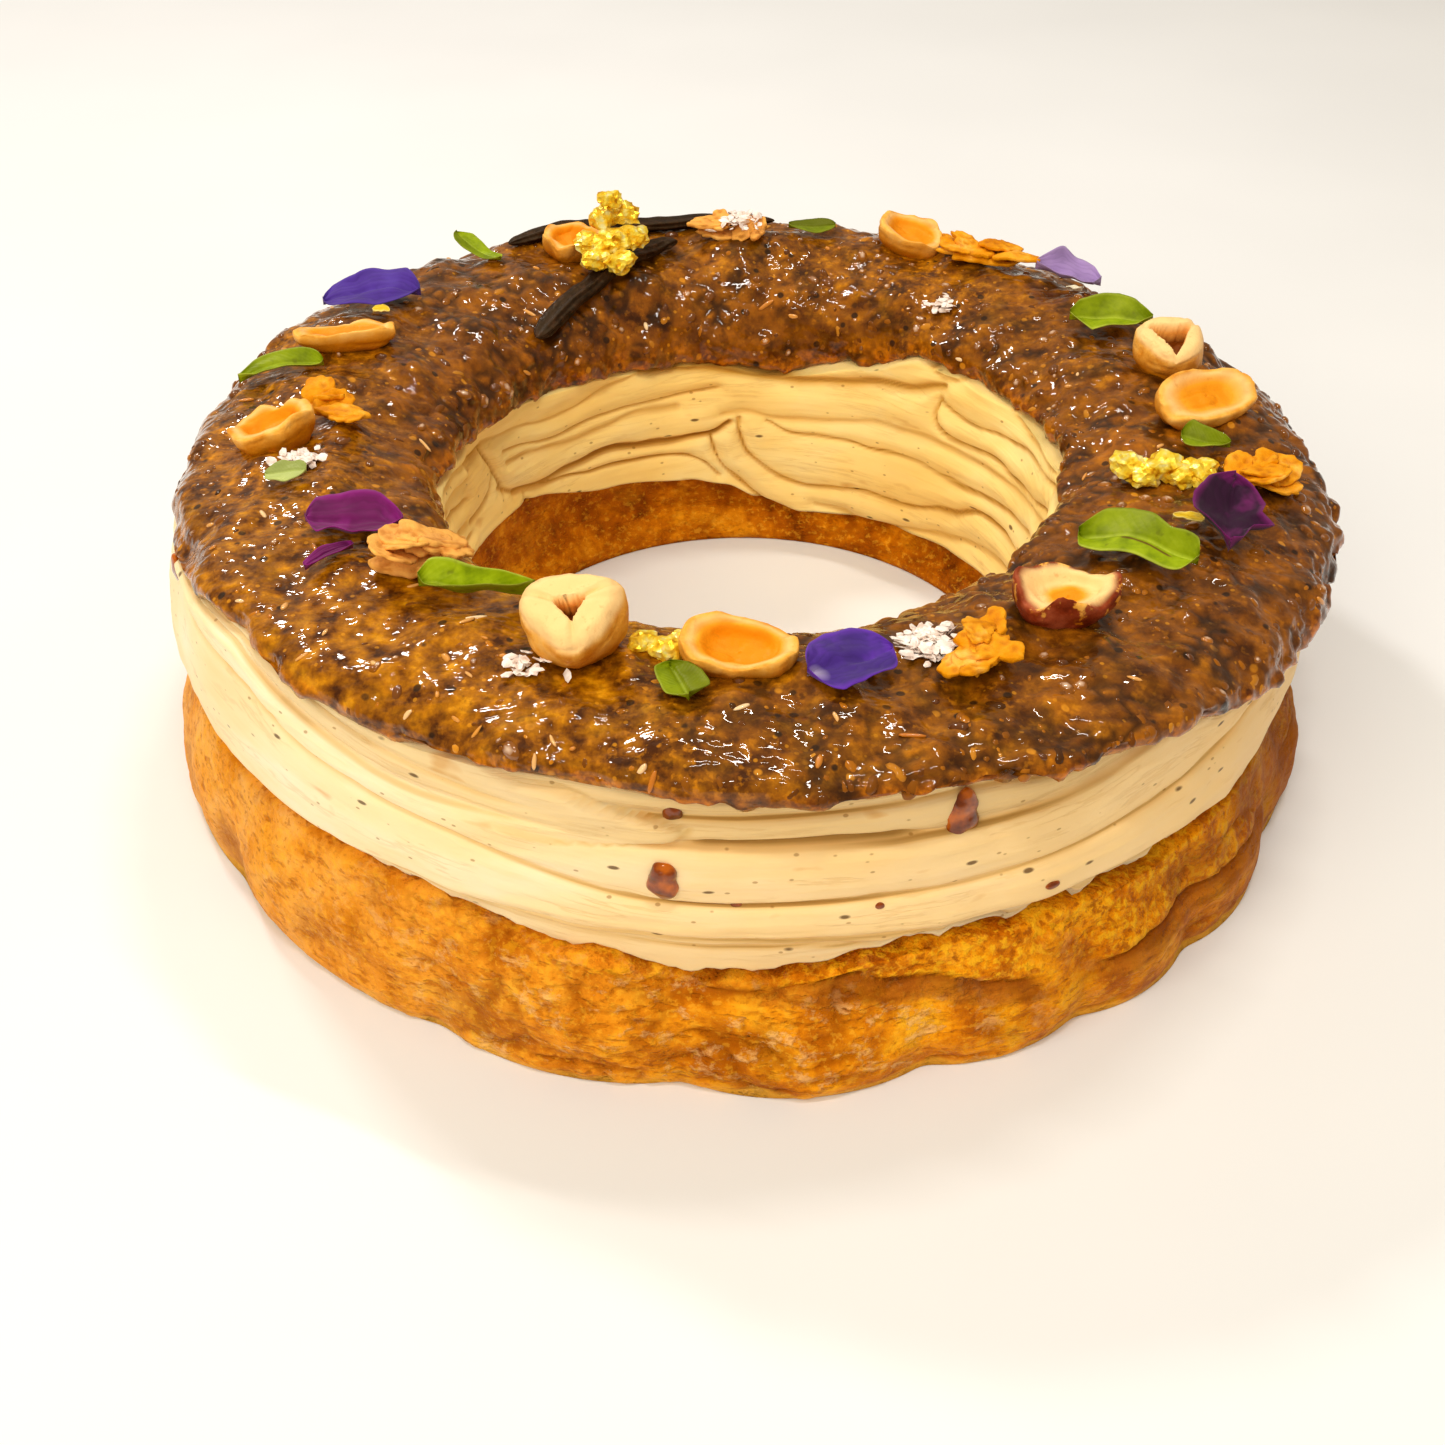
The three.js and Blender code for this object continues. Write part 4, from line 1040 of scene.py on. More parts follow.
def strokes(degrees, shares, tilt):
    """How near the middle of its stroke each height lies, and how far that stroke stands out."""
    edges = [0 * degrees]
    for share in GROOVES_INSIDE:
        wander = 0.03 * turn_noise(degrees, 24, share * 3, 9)
        edges.append(share + wander + tilt * np.sin(np.pi * share))
    edges.append(1 + 0 * degrees)
    crest = np.zeros(shares.shape)
    offset = np.zeros(shares.shape)
    for number, (low, high) in enumerate(zip(edges, edges[1:])):
        inside = (shares >= low[:, None]) & (shares <= high[:, None])
        part = (shares - low[:, None]) / (high - low)[:, None]
        crest = np.where(inside, 1 - np.abs(2 * part - 1) ** STROKE_SHARPNESS, crest)
        own = turn_noise(degrees, 21, number * 1.7, 49)[:, None]
        own = own + 0.9 * (0.5 - part)
        offset = np.where(inside, own * np.sqrt(np.clip(crest, 0, 1)), offset)
    return crest, offset


def crease_edges(degrees, bottom, top):
    """Heights of the lower end, the creases and the upper end of the outer wall."""
    edges = [bottom]
    for number, crease in enumerate(CREASES):
        wander = CREASE_WANDER * turn_noise(degrees, 6, 0, 60 + number)
        edges.append(np.maximum(edges[-1] + 0.4, flowing(crease["path"], degrees) + wander))
    for number in range(len(CREASES), 0, -1):
        edges[number] = np.minimum(edges[number], top - 0.5 * (len(CREASES) + 1 - number))
    return [edge[:, None] for edge in edges + [top]]


def rows_between(edges):
    """Rows of points that run along the creases, closer together by them."""
    parts = [edges[0]]
    for low, high, count in zip(edges, edges[1:], CREAM_ROWS_PER_STROKE):
        shares = (1 - np.cos(np.pi * np.arange(1, count + 1) / count)) / 2
        parts.append(lerp(low, high, shares[None]))
    return np.concatenate(parts, 1)


def outer_strokes(column, height, edges):
    """How far the outer strokes stand out at each height, and the painted shade along the creases
    between them.
    """
    out = np.full(height.shape, HEM_OUT)
    groove = np.zeros(height.shape)
    for number, (crease, edge) in enumerate(zip(CREASES, edges[1:])):
        above = height - edge
        strength = 0.7 + 0.4 * turn_noise(column, 16, number * 2.3, 33)
        out = out + crease["out"] * step(above, -0.3, 0.55)
        out = out - strength * crease["deep"] * bell(above, crease["wide"])
        gap = around(crease.get("gap", [(0, 0)]), column)
        opened = gap * bell(above - 0.45 * gap, 0.55)
        out = out - 1.1 * opened
        # Below a stroke that stands out, the camera sees no deeper than the stroke's shadow, so the
        # painted shade line lies there.
        shadow = above + 0.1 + 0.75 * max(0, crease["out"])
        line = bell(shadow, max(0.3, 0.55 * crease["wide"] + 0.2 * crease["out"]))
        groove = np.maximum(groove, np.maximum(strength * line, 1.1 * opened))
    for low, high, belly in zip(edges, edges[1:], BELLIES):
        part = np.clip((height - low) / np.maximum(high - low, 0.5), 0, 1)
        out = out + belly * (1 - np.abs(2 * part - 1) ** 2.4)
    return out, groove, height - edges[4]


def crease_lines(degrees, height):
    """How far the strokes between the lines stand out, and the creases along the lines."""
    turn = unwound(degrees)
    across = CREAM_HOLE_RADIUS * np.radians(turn) + 0.5 * noise(turn / 6, height / 5, 31)
    up = height + 0.4 * noise(turn / 6, height / 5, 37)
    nearest, dent, crease = (0 * up + 99, 0 * up, 0 * up)
    for line in LINES:
        keys = [(CREAM_HOLE_RADIUS * math.radians(angle), level) for angle, level in line["path"]]
        curve = curve_through(keys, 4 * len(keys))
        distance = 0 * up + 99
        for (ax, ay), (bx, by) in zip(curve, curve[1:]):
            length = math.hypot(bx - ax, by - ay)
            along = ((across - ax) * (bx - ax) + (up - ay) * (by - ay)) / length ** 2
            along = np.clip(along, 0, 1)
            gap = np.hypot(across - ax - along * (bx - ax), up - ay - along * (by - ay))
            distance = np.minimum(distance, gap)
        nearest = np.minimum(nearest, distance)
        dent = np.maximum(dent, line["deep"] * bell(distance, line["wide"]))
        strength = min(1.0, 0.25 + 0.75 * line["deep"])
        crease = np.maximum(crease, strength * bell(distance, 0.75 * line["wide"]))
    pillow = 1 - np.exp(-(nearest / PILLOW_REACH) ** 1.5)
    return PILLOW_HEIGHT * pillow - dent, crease


def laid_over(over, degrees, height, radius):
    """Lift, cover and crease of the strokes that lie over the others."""
    lift, cover, crease = (np.zeros(height.shape) for _ in range(3))
    for stroke in over:
        turn = degrees + 0 * height
        start = np.interp(height, *zip(*stroke["start"]))
        inside = radius * np.radians(start - turn)
        inside = softer(inside, np.interp(turn, *zip(*stroke["top"])) - height, CORNER_REACH)
        inside = softer(inside, height - np.interp(turn, *zip(*stroke["bottom"])), CORNER_REACH)
        inside = inside + 0.8 * turn_noise(degrees, 5, height / 6, 83) + 1.2
        fade = step(turn, stroke["end"], stroke["end"] + 14)
        rounded = np.sqrt(1 - (1 - np.clip(inside / 2.4, 0, 1)) ** 2)
        dips = 0 * height
        for place in stroke.get("ridges", []):
            dips = dips + bell(inside - place, 0.9)
        covered = fade * step(inside, -0.2, 0.5)
        lift = lerp(lift, stroke["lift"] * rounded - 0.9 * dips, covered)
        crease = crease * (1 - covered)
        edge = bell(inside + 0.1, 0.6) + 0.8 * dips ** 2
        faint = 0.7 + 0.4 * turn_noise(degrees, 9, height / 9, 87)
        crease = np.maximum(crease, fade * faint * np.clip(edge, 0, 1))
        cover = np.maximum(cover, covered)
    return lift, cover, crease


def cream_outside(column, outer, bottom, top):
    """The outer wall's section at each angle, with its creases and their painted shade, its hem,
    and painted shade under the glaze.
    """
    edges = crease_edges(column[:, 0], bottom, top)
    height = rows_between(edges)
    shares = (height - bottom[:, None]) / (top - bottom)[:, None]
    lift, cover, crease = laid_over(OVER_OUTSIDE, column, height, CREAM_RADIUS)
    banded, groove, above_band = outer_strokes(column, height, edges)
    hem = around(BASE_RADIUS, column) - BASE_TAPER + 0.8
    wall = lerp(hem, outer[:, None], np.minimum(1, 3 * shares))
    film = around(HEM_FILM, column)
    fringe = step(height - lerp(edges[1], edges[2], film), 0.3, -0.3)
    ragged = turn_noise(column, 2.4, 0, 71) + 0.6 * turn_noise(column, 0.9, 0, 73)
    tucked = around(TUCKED_OUTSIDE, column) * step(shares, 0.4, 0.9)
    radius = wall + lerp(banded, -0.5, cover) + lift - tucked
    height = height - (0.75 + 0.6 * film) * ragged * step(shares, 0.1, 0.0)
    groove = groove * around(CREASE_SHADE_SHARE, column)
    groove = np.maximum(groove * (1 - cover) * step(shares, 0.0, 0.05), crease)
    # recess marks the upper strokes, tucked under the glaze, for painted shade.
    return np.stack([radius, height], -1), dict(
        groove=groove, hem=fringe * around(HEM_GREY, column), recess=step(above_band, -0.1, 0.9))


def cream_inside(column, flare, bottom, top):
    """The inner wall's section at each angle, from the top down, with its creases and their painted
    shade.
    """
    degrees = column[:, 0]
    shares = np.repeat(np.linspace(0, 1, CREAM_ROWS_INSIDE)[None], CREAM_TURNS, 0)
    tilt = 0.07 * turn_noise(degrees, 38, 0, 91) + 0.03 * turn_noise(degrees, 13, 0, 93)
    crest, offset = strokes(degrees, shares, tilt)
    height = lerp(bottom[:, None], top[:, None], shares)
    lift, cover, crease = laid_over(OVER_INSIDE, column, height, CREAM_HOLE_RADIUS)
    depth = CREAM_RIDGE * (0.85 + 0.35 * turn_noise(column, 14, shares * 5, 17))
    banded = 1.25 * (1 - crest) * depth - 0.9 * offset
    drawn, drawn_crease = crease_lines(column, height)
    first, last = LINES_SHOWN
    shown = step(unwound(column), first - 4, first) * step(unwound(column), last + 4, last)
    banded = lerp(banded, 1 - drawn, shown)
    radius = CREAM_HOLE_RADIUS + flare[:, None] * shares ** 2 + lerp(banded, 0.6, cover) - lift
    faint = 0.65 + 0.45 * turn_noise(column, 12, height / 8, 95)
    plain = np.maximum((1 - crest) ** 2.5 * (1 - cover) * faint, crease)
    groove = lerp(plain, drawn_crease * (0.55 + 0.5 * faint), shown)
    return np.stack([radius, height], -1)[:, ::-1], groove[:, ::-1]


def build_cream():
    """The cream between the halves. Returns the points of its outer wall."""
    degrees = turns(CREAM_TURNS)
    column = degrees[:, None]
    outer = CREAM_RADIUS - CREAM_SHIFT * np.cos(np.radians(degrees))
    flare = np.maximum(around(CAP_HOLE_RADIUS, degrees) - 2 - CREAM_HOLE_RADIUS, -1.2)
    flare = flare + around(TUCKED, degrees)
    seat = BASE_CUT_INNER + GAP
    lip = np.minimum(around(CREAM_LIP, degrees), seat)
    outside, looks = cream_outside(column, outer, around(BASE_CUT_OUTER, degrees) + GAP,
                                   seam(degrees, outer - 3) - GAP)
    inside, inside_groove = cream_inside(column, flare, lip,
                                         seam(degrees, CREAM_HOLE_RADIUS + flare) - GAP)

    def between(a, b):
        shares_between = np.arange(1, CREAM_ROWS_HIDDEN + 1) / (CREAM_ROWS_HIDDEN + 1)
        return lerp(a[:, None], b[:, None], shares_between[None, :, None])

    wall = BASE_WALL_RADIUS + 0 * lip
    lip_outer = np.stack([wall - GAP - 1.2, lip + 0.8], -1)
    lip_top = np.stack([wall - GAP, np.maximum(lip + 0.8, seat - 0.4)], -1)
    lip_seat = np.stack([wall + 0.4, seat + 0 * lip], -1)
    loop = np.concatenate([
        lip_outer[:, None], lip_top[:, None], lip_seat[:, None], between(lip_seat, outside[:, 0]),
        outside, between(outside[:, -1], inside[:, 0]), inside], 1)
    before = 3 + CREAM_ROWS_HIDDEN
    outside_rows = slice(before, before + CREAM_ROWS_OUTSIDE)
    inside_rows = slice(-CREAM_ROWS_INSIDE, None)
    groove, hem, within, recess, level = (np.zeros(loop.shape[:2]) for _ in range(5))
    # The streaks follow the strokes: the level rises by one from each crease to the next.
    level[:, outside_rows] = rows_between([np.array([[float(number)]]) for number in range(
        len(CREAM_ROWS_PER_STROKE) + 1)])
    level[:, inside_rows] = 20 + inside[..., 1] / 5
    groove[:, outside_rows] = looks["groove"]
    groove[:, inside_rows] = inside_groove
    hem[:, outside_rows] = looks["hem"]
    recess[:, outside_rows] = looks["recess"]
    within[:, inside_rows] = 1

    points = to_points(degrees, loop)
    normals = grid_normals(points)
    streaks = turn_noise(column, 9, points[..., 2] / 0.9, 21)
    relief = 0.16 * streaks + 0.3 * lumps(points, 9, 6.0) + 0.12 * lumps(points, 3, 8.0)
    shown = np.zeros(loop.shape[1])
    shown[before + 1:before + CREAM_ROWS_OUTSIDE - 1] = 1
    shown[-CREAM_ROWS_INSIDE + 1:-1] = 1
    points = points + normals * (relief * shown[None])[..., None]
    make("piped_cream", points, grid_faces(*points.shape[:2]), cream_material(), "cream",
         ["cream_ring"], groove=np.clip(groove, 0, 1), hem=hem, within=within, recess=recess,
         level=level, warmth=around(WARMTH, column))
    return points[:, outside_rows]


# ---- The glazed upper half ---------------------------------------------------------------------
CAP_TURNS = 840
CAP_ROWS_OVER = 104
CAP_ROWS_UNDER = 10
# 0 is golden, wet glaze and 1 dull brown.
TONE = [
    (0, 0.95), (30, 0.8), (60, 0.45), (100, 0.55), (135, 0.75), (165, 0.5), (190, 0.1),
    (235, 0.05), (255, 0.25), (270, 0.5), (285, 0.7), (305, 0.9), (335, 1),
]
# How far the glaze hangs over the cream outside, below the solid's edge, and how much wider it
# gets there for each millimetre.
DROOP = [(0, 0), (150, 0), (170, 2.4), (194, 2.6), (212, 0.8), (232, 0)]
DROOP_WIDENS = 0.0045
# Painted shade: where the glaze is made darker and duller on its slope into the hole, turned away
# from the lamps.
INSIDE_SHADE = [(0, 0), (90, 0.3), (130, 1), (200, 1), (240, 0)]


def cap_loop(column, turn):
    """The upper half's section at each angle: its underside, then its top along the turn."""
    inner, outer = around(CAP_HOLE_RADIUS, column), around(CAP_RADIUS, column)
    middle = (inner + outer) / 2
    ragged = turn_noise(column, 4.5, 0, 41)
    across = np.cos(np.radians(turn))
    rounding = np.where(across > 0, CAP_ROUND_OUTER, CAP_ROUND_INNER)
    side = np.where(across > 0, outer - middle, middle - inner)
    radius = middle + np.sign(across) * np.abs(across) ** rounding * side
    height = cap_top(column, radius)
    rim = np.clip(1 - np.minimum(turn, 180 - turn) / 45, 0, 1)
    bump = 1.1 * turn_noise(column, 5, turn / 15, 43) * np.where(rim > 0, np.sqrt(rim), 0)
    over = np.stack([radius + bump * np.sign(across), height], -1)

    under_radius = lerp(inner + 1.5, outer - 2 + ragged, np.linspace(0, 1, CAP_ROWS_UNDER)[None])
    under = np.stack([under_radius, seam(column, under_radius)], -1)
    return np.concatenate([under, over], 1)


def build_cap():
    """The glazed upper half. Returns its top for what is scattered over it."""
    degrees = turns(CAP_TURNS)
    column = degrees[:, None]
    turn = np.linspace(0, 180, CAP_ROWS_OVER)[None]
    points = to_points(degrees, cap_loop(column, turn))
    normals = grid_normals(points)

    def over_rows(values):
        """The numbers for the rows of the upper side, and 0 for those under it."""
        return np.concatenate([np.zeros(CAP_ROWS_UNDER), values[0]])[None]

    tone = around(TONE, column) + 0.22 * lumps(points, 22, 2.0)
    # Painted shade on the slope into the hole.
    tone = tone + 0.7 * around(INSIDE_SHADE, column) * over_rows(step(turn, 100, 150))
    rough = np.clip(0.45 + 0.75 * tone, 0.45, 1.25)
    near, second = cells(points, 3.4, 5.0)
    grains = step(second - near, 0.0, 0.55)
    near_rim = 0.8 * lumps(points, 2.4, 15.0) + 0.8 * lumps(points, 4.6, 16.0)
    relief = (
        0.95 * lumps(points, 6.5, 7.0)
        + rough * 0.5 * lumps(points, 3.6, 8.0)
        + rough * 0.28 * (grains - 0.5)
        + 0.06 * rough * lumps(points, 1.4, 9.0)
        + rough * over_rows(step(turn, 30, 8)) * near_rim
    )
    points = points + normals * (relief * over_rows(1 + 0 * turn))[..., None]
    # The glaze has run down unevenly over the edges.
    run = turn_noise(column, 3.1, 0, 57) + 0.7 * turn_noise(column, 1.3, 0, 59)
    near_edge = over_rows(np.clip(1 - np.minimum(turn, 180 - turn) / 16, 0, 1))
    near_edge[0, [0, CAP_ROWS_UNDER - 1]] = 1
    points[..., 2] -= 0.9 * np.maximum(0, run + 0.2) * near_edge
    over_edge = over_rows(step(turn, 40, 6))
    over_edge[0, CAP_ROWS_UNDER - 1] = 1
    droop = around(DROOP, column) * over_edge
    points[..., 2] -= droop
    points[..., :2] *= 1 + DROOP_WIDENS * droop[..., None]
    # pit: painted shade in the crevices between the lumps.
    pit = np.clip((1 - grains) * step(lumps(points, 4.2, 13.0), -0.4, 0.5) * rough, 0, 1)
    tone = np.clip(tone, 0, 1)
    make("praline_glaze", points, grid_faces(*points.shape[:2]), glaze_material(),
         "praline_glaze", ["glazed_cap"], tone=tone, pit=pit, edge=near_edge)
    return Surface(points[:, CAP_ROWS_UNDER:], grid_normals(points)[:, CAP_ROWS_UNDER:],
                   tone[:, CAP_ROWS_UNDER:], turn[0], degrees)


class Surface:
    """The top of the glaze, for what is scattered over it."""

    def __init__(self, points, normals, tone, turn, degrees):
        self.points, self.normals, self.tone = points, normals, tone
        self.turn, self.degrees = turn, degrees

    def pick(self, count, low, high, keys):
        """Random rows and columns between two turns of the section, weighted by the keys."""
        rows = np.flatnonzero((self.turn >= low) & (self.turn <= high))
        weights = np.linalg.norm(self.points[:, rows, :2], axis=-1)
        weights = weights * around(keys, self.degrees)[:, None]
        weights = (weights / weights.sum()).ravel()
        picked = rng.choice(weights.size, count, replace=False, p=weights)
        return picked // len(rows), rows[picked % len(rows)]


# How many of each kind are strewn over the glaze, and how thickly round the ring.
GRAINS = 950
BUBBLES = 400
SLIVERS = 90
GRAIN_SHARE = [(0, 1.2), (60, 1.0), (150, 0.8), (200, 0.35), (240, 0.5), (270, 0.9), (320, 1.2)]
BUBBLE_SHARE = [(0, 0.8), (60, 1.2), (120, 1.3), (180, 1.0), (225, 0.25), (290, 0.2), (330, 0.6)]
SLIVER_SHARE = [(0, 0.5), (120, 0.8), (190, 1.0), (235, 3.0), (262, 2.0), (285, 0.8)]


def strewn(surface, picks, size, longer, thin, out, rough):
    """Uneven lumps on the glaze: points, faces, and the number of the lump for each point."""
    i, j = picks
    sizes = np.stack([size * longer, size, thin * size], 1)
    places = surface.points[i, j] + surface.normals[i, j] * (out * size)[:, None]
    points, faces = copies(places, surface.normals[i, j], sizes, rough)
    return points, faces, np.repeat(np.arange(len(i)), len(points) // len(i))


def build_grains(surface):
    """Chopped praline lying in the glaze."""
    i, j = surface.pick(GRAINS, 4, 176, GRAIN_SHARE)
    size = 0.45 + 0.7 * rng.random(len(i)) ** 2.2
    points, faces, owner = strewn(surface, (i, j), size, rng.uniform(1, 1.9, len(i)), 0.7, -0.54,
                                  0.25)
    make("praline_grains", points, faces, grain_material(), "praline_glaze",
         shade=rng.random(len(i))[owner], tone=surface.tone[i, j][owner])


def bead_material():
    """A bead of syrup, some with a painted highlight on top."""
    shader = Shader("syrup_bead", Roughness=0.4, Specular_IOR_Level=0.2, Coat_Weight=1.0,
                    Coat_Roughness=0.04, Coat_IOR=1.6)
    own, top = shader.value("shade"), shader.value("top")
    shader.colour = shader.ramp(own, [
        (0.0, 84, 38, 0), (0.5, 122, 66, 2), (0.85, 146, 84, 6), (1.0, 168, 98, 12)])
    # A painted highlight on the tops of some beads.
    bead_highlight = shader.times(shader.range(own, 0.5, 0.6), shader.range(top, 0.8, 0.97))
    shader.tint((226, 196, 168), shader.times(bead_highlight, 0.75))
    return shader.finished(shader.bump(shader.noise(1.2, 2, 0.5), 0.15, 0.4))


def build_bubbles(surface):
    """Round beads of syrup over bits of nut, each with its own small highlight from the lamps, and
    a painted highlight on top of some.
    """
    i, j = surface.pick(BUBBLES, 12, 172, BUBBLE_SHARE)
    size = rng.uniform(0.4, 1.2, len(i))
    points, faces, owner = strewn(surface, (i, j), size, rng.uniform(1, 1.6, len(i)), 0.75, -0.3,
                                  0.16)
    make("syrup_beads", points, faces, bead_material(), "praline_glaze",
         shade=rng.random(len(i))[owner], top=np.tile(ball(2)[0][:, 2], len(i)))


def build_slivers(surface):
    """Pale slivers and crumbs of nut on the glaze."""
    i, j = surface.pick(SLIVERS, 12, 168, SLIVER_SHARE)
    size = rng.uniform(0.28, 0.52, len(i))
    points, faces, owner = strewn(surface, (i, j), size, rng.uniform(1.2, 4.2, len(i)), 0.7, 0.12,
                                  0.3)
    make("nut_slivers", points, faces, sliver_material(), "hazelnut",
         shade=rng.random(len(i))[owner])


# ---- Toppings ----------------------------------------------------------------------------------
# The hollow is deep as a share of the height. With corners = 1 the nut is nearly whole, with a
# torn hole: its middle, how it is turned, and its reach. The face is where the rim turns dark.
HAZELNUTS = [
    dict(at=(-25.6, -77), turn=0, lean=(24, -6), length=15.5, width=14.5, height=9, hollow=0,
         corners=1, torn=(0, -0.04, 4.5), reach=0.22),
    dict(at=(-1.6, -79.2), turn=-8, lean=(12, 4), length=17.5, width=11, height=5.5, hollow=0.3),
    dict(at=(49.1, -62.2), turn=12, lean=(2, 0), length=17, width=12, height=7, hollow=0.2,
         ragged=2.2, face=(0.5, 0.2), rough=0.7),
    dict(at=(86.1, 7.5), turn=26, lean=(22, 0), length=21, width=12.5, height=6, hollow=0.07,
         face=(0.95, 0.3)),
    dict(at=(83.2, 27.2), turn=60, lean=(6, -8), length=15, width=14, height=7, hollow=0, corners=1,
         torn=(-0.05, 0.0, 1.57), reach=0.46),
    dict(at=(37.6, 80.8), turn=-20, lean=(4, 14), length=14.5, width=11.5, height=6.5, hollow=0.14),
    dict(at=(-35.5, 74), turn=40, lean=(8, 0), length=13, width=11, height=6.5, hollow=0.2),
    dict(at=(-76.4, 26.7), turn=10, lean=(-10, 0), length=19.5, width=9, height=4.5, hollow=0.05),
    dict(at=(-83.6, -9.4), turn=28, lean=(-10, -12), length=15.5, width=12, height=7, hollow=0.3),
]
WITH_SKIN = 3  # number of the hazelnut that has kept its skin
NUT_SET = 0.62  # share of its height that a nut stands out of the glaze
NUT_SIDES = 64
NUT_ROWS = 54

# Sides give the outline: at shares of the length, the shares of half the width on either side.
LEAVES = [
    dict(at=(-55, 69.6), turn=147, length=11.5, width=6, curl=0.4, rise=4,
         sides=[(0, 0.6, 0.6), (0.5, 0.8, 0.8), (0.85, 1, 1), (1, 0.8, 0.8)]),
    dict(at=(-87.2, 16.6), turn=14, length=16, width=6, curl=0.5, tilt=1, fold=0.6, bend=-1,
         sides=[(0, 0.1, 0.1), (0.2, 0.7, 0.8), (0.45, 1, 0.8), (0.8, 1, 0.8), (1, 0.7, 0.6)]),
    dict(at=(-77.9, -26.4), turn=-8, length=7.5, width=4.5, blunt=0.6, curl=0.2, pale=0.7, tilt=1),
    dict(at=(-41.5, -63.5), turn=176, length=18, width=6, curl=1.0, rise=1, tilt=-1.5, fold=1.2,
         sides=[(0, 0.1, 0.1), (0.15, 0.4, 0.4), (0.45, 0.7, 0.7), (0.75, 0.9, 1), (0.93, 0.9, 1),
                (1, 0.5, 0.6)]),
    dict(at=(-10.1, -86.4), turn=-70, length=8.5, width=7, curl=0.3, deep=0.35, fold=0.6,
         sides=[(0, 0.5, 0.5), (0.1, 0.8, 0.8), (0.4, 1, 0.9), (0.85, 1, 0.8), (1, 0.9, 0.5)]),
    dict(at=(63.6, -44.4), turn=-37, length=21, width=10, curl=0.4, tilt=3, fold=1.2,
         line=(-0.3, 0.35, 0.85),
         sides=[(0, 0.4, 0.4), (0.1, 1, 0.9), (0.3, 1.15, 1), (0.5, 0.9, 0.95), (0.7, 0.6, 0.9),
                (0.8, 0.65, 0.85), (0.94, 0.6, 0.75), (1, 0.3, 0.5)]),
    dict(at=(74.4, 42.4), turn=-6, length=16.5, width=10, curl=0.6, tilt=3, fold=1.1,
         sides=[(0, 0.1, 0.1), (0.12, 0.6, 0.6), (0.25, 0.8, 1.15), (0.4, 0.9, 1.05), (0.6, 1, 0.8),
                (0.8, 0.75, 0.6), (1, 0.1, 0.1)]),
    dict(at=(16.1, 84.7), turn=10, length=10.5, width=5.5, blunt=0.7, curl=0.4, tilt=1, deep=0.6),
    dict(at=(83.4, -5.2), turn=-24, length=9, width=6.5, curl=0.3, tilt=1, deep=0.3, fold=0.8,
         sides=[(0, 0.9, 0.6), (0.15, 1.1, 0.9), (0.5, 0.8, 0.9), (0.8, 0.5, 0.6), (1, 0.1, 0.2)]),
]

# Screen colours of petals: the body's and the edge's.
BLUE_VIOLET = (74, 44, 144), (84, 58, 160)
DEEP_VIOLET = (66, 36, 128), (106, 50, 184)
MAGENTA = (104, 14, 84), (150, 36, 134)
DARK_PURPLE = (48, 12, 44), (128, 32, 110)
LILAC = (156, 128, 184), (166, 140, 190)
YELLOW = (246, 206, 40), (250, 232, 150)
CREAMY = (226, 214, 180), (236, 228, 206)
PETALS = [
    dict(at=(-73.9, 44.1), turn=8, length=19.5, width=11, curl=1.0, tilt=3, colours=BLUE_VIOLET,
         sides=[(0, 0.5, 0.8), (0.1, 0.85, 1), (0.35, 0.75, 1), (0.55, 1, 0.95), (0.7, 1.05, 0.7),
                (0.88, 1, 0.4), (1, 0.4, 0.1)]),
    dict(at=(-63.5, -43), turn=10, length=15.5, width=12.5, curl=1.6, tilt=2, colours=MAGENTA,
         crinkle=1.9,
         sides=[(0, 0.6, 0.4), (0.12, 0.95, 0.8), (0.5, 1, 1), (0.8, 0.85, 0.6), (1, 0.3, 0.2)]),
    dict(at=(14.4, -81.5), turn=24, length=14.5, width=13, curl=0.9, rise=1, colours=DEEP_VIOLET,
         eye=(-0.04, -0.2), white=0.55,
         sides=[(0, 0.35, 0.45), (0.2, 0.75, 1), (0.45, 1, 1), (0.75, 1, 0.75), (0.93, 0.85, 0.6),
                (1, 0.6, 0.4)]),
    dict(at=(80.6, -36), turn=74, length=15, width=13, curl=2.4, rise=4, colours=DARK_PURPLE,
         crinkle=2.6,
         sides=[(0, 0.1, 0.1), (0.1, 0.3, 0.3), (0.3, 0.95, 0.55), (0.42, 1, 1.05), (0.54, 1, 0.7),
                (0.72, 0.8, 0.85), (0.9, 0.65, 0.55), (1, 0.45, 0.3)]),
    dict(at=(69.4, 65), turn=-12, length=14, width=10, curl=1.6, tilt=3, colours=LILAC,
         sides=[(0, 0.1, 0.1), (0.25, 0.6, 0.45), (0.4, 1, 0.65), (0.65, 0.95, 0.85),
                (0.88, 0.65, 0.9), (1, 0.2, 0.3)]),
]
# The narrow pale ends by which petals sat on the flower.
CLAWS = [
    dict(at=(-71.1, 37.6), turn=20, length=3.4, width=3, curl=0.2, colours=YELLOW),
    dict(at=(-66.2, -52.5), turn=48, length=9.5, width=3, curl=0.5, colours=MAGENTA),
    dict(at=(74, -34.6), turn=-6, length=5.4, width=2.6, curl=0.3, colours=YELLOW),
    dict(at=(69.6, 57.4), turn=-40, length=3.6, width=3, curl=0.3, colours=CREAMY),
]
BLADE_LIFT = 1.5
LEAF_THICKNESS = 0.45
PETAL_THICKNESS = 0.4

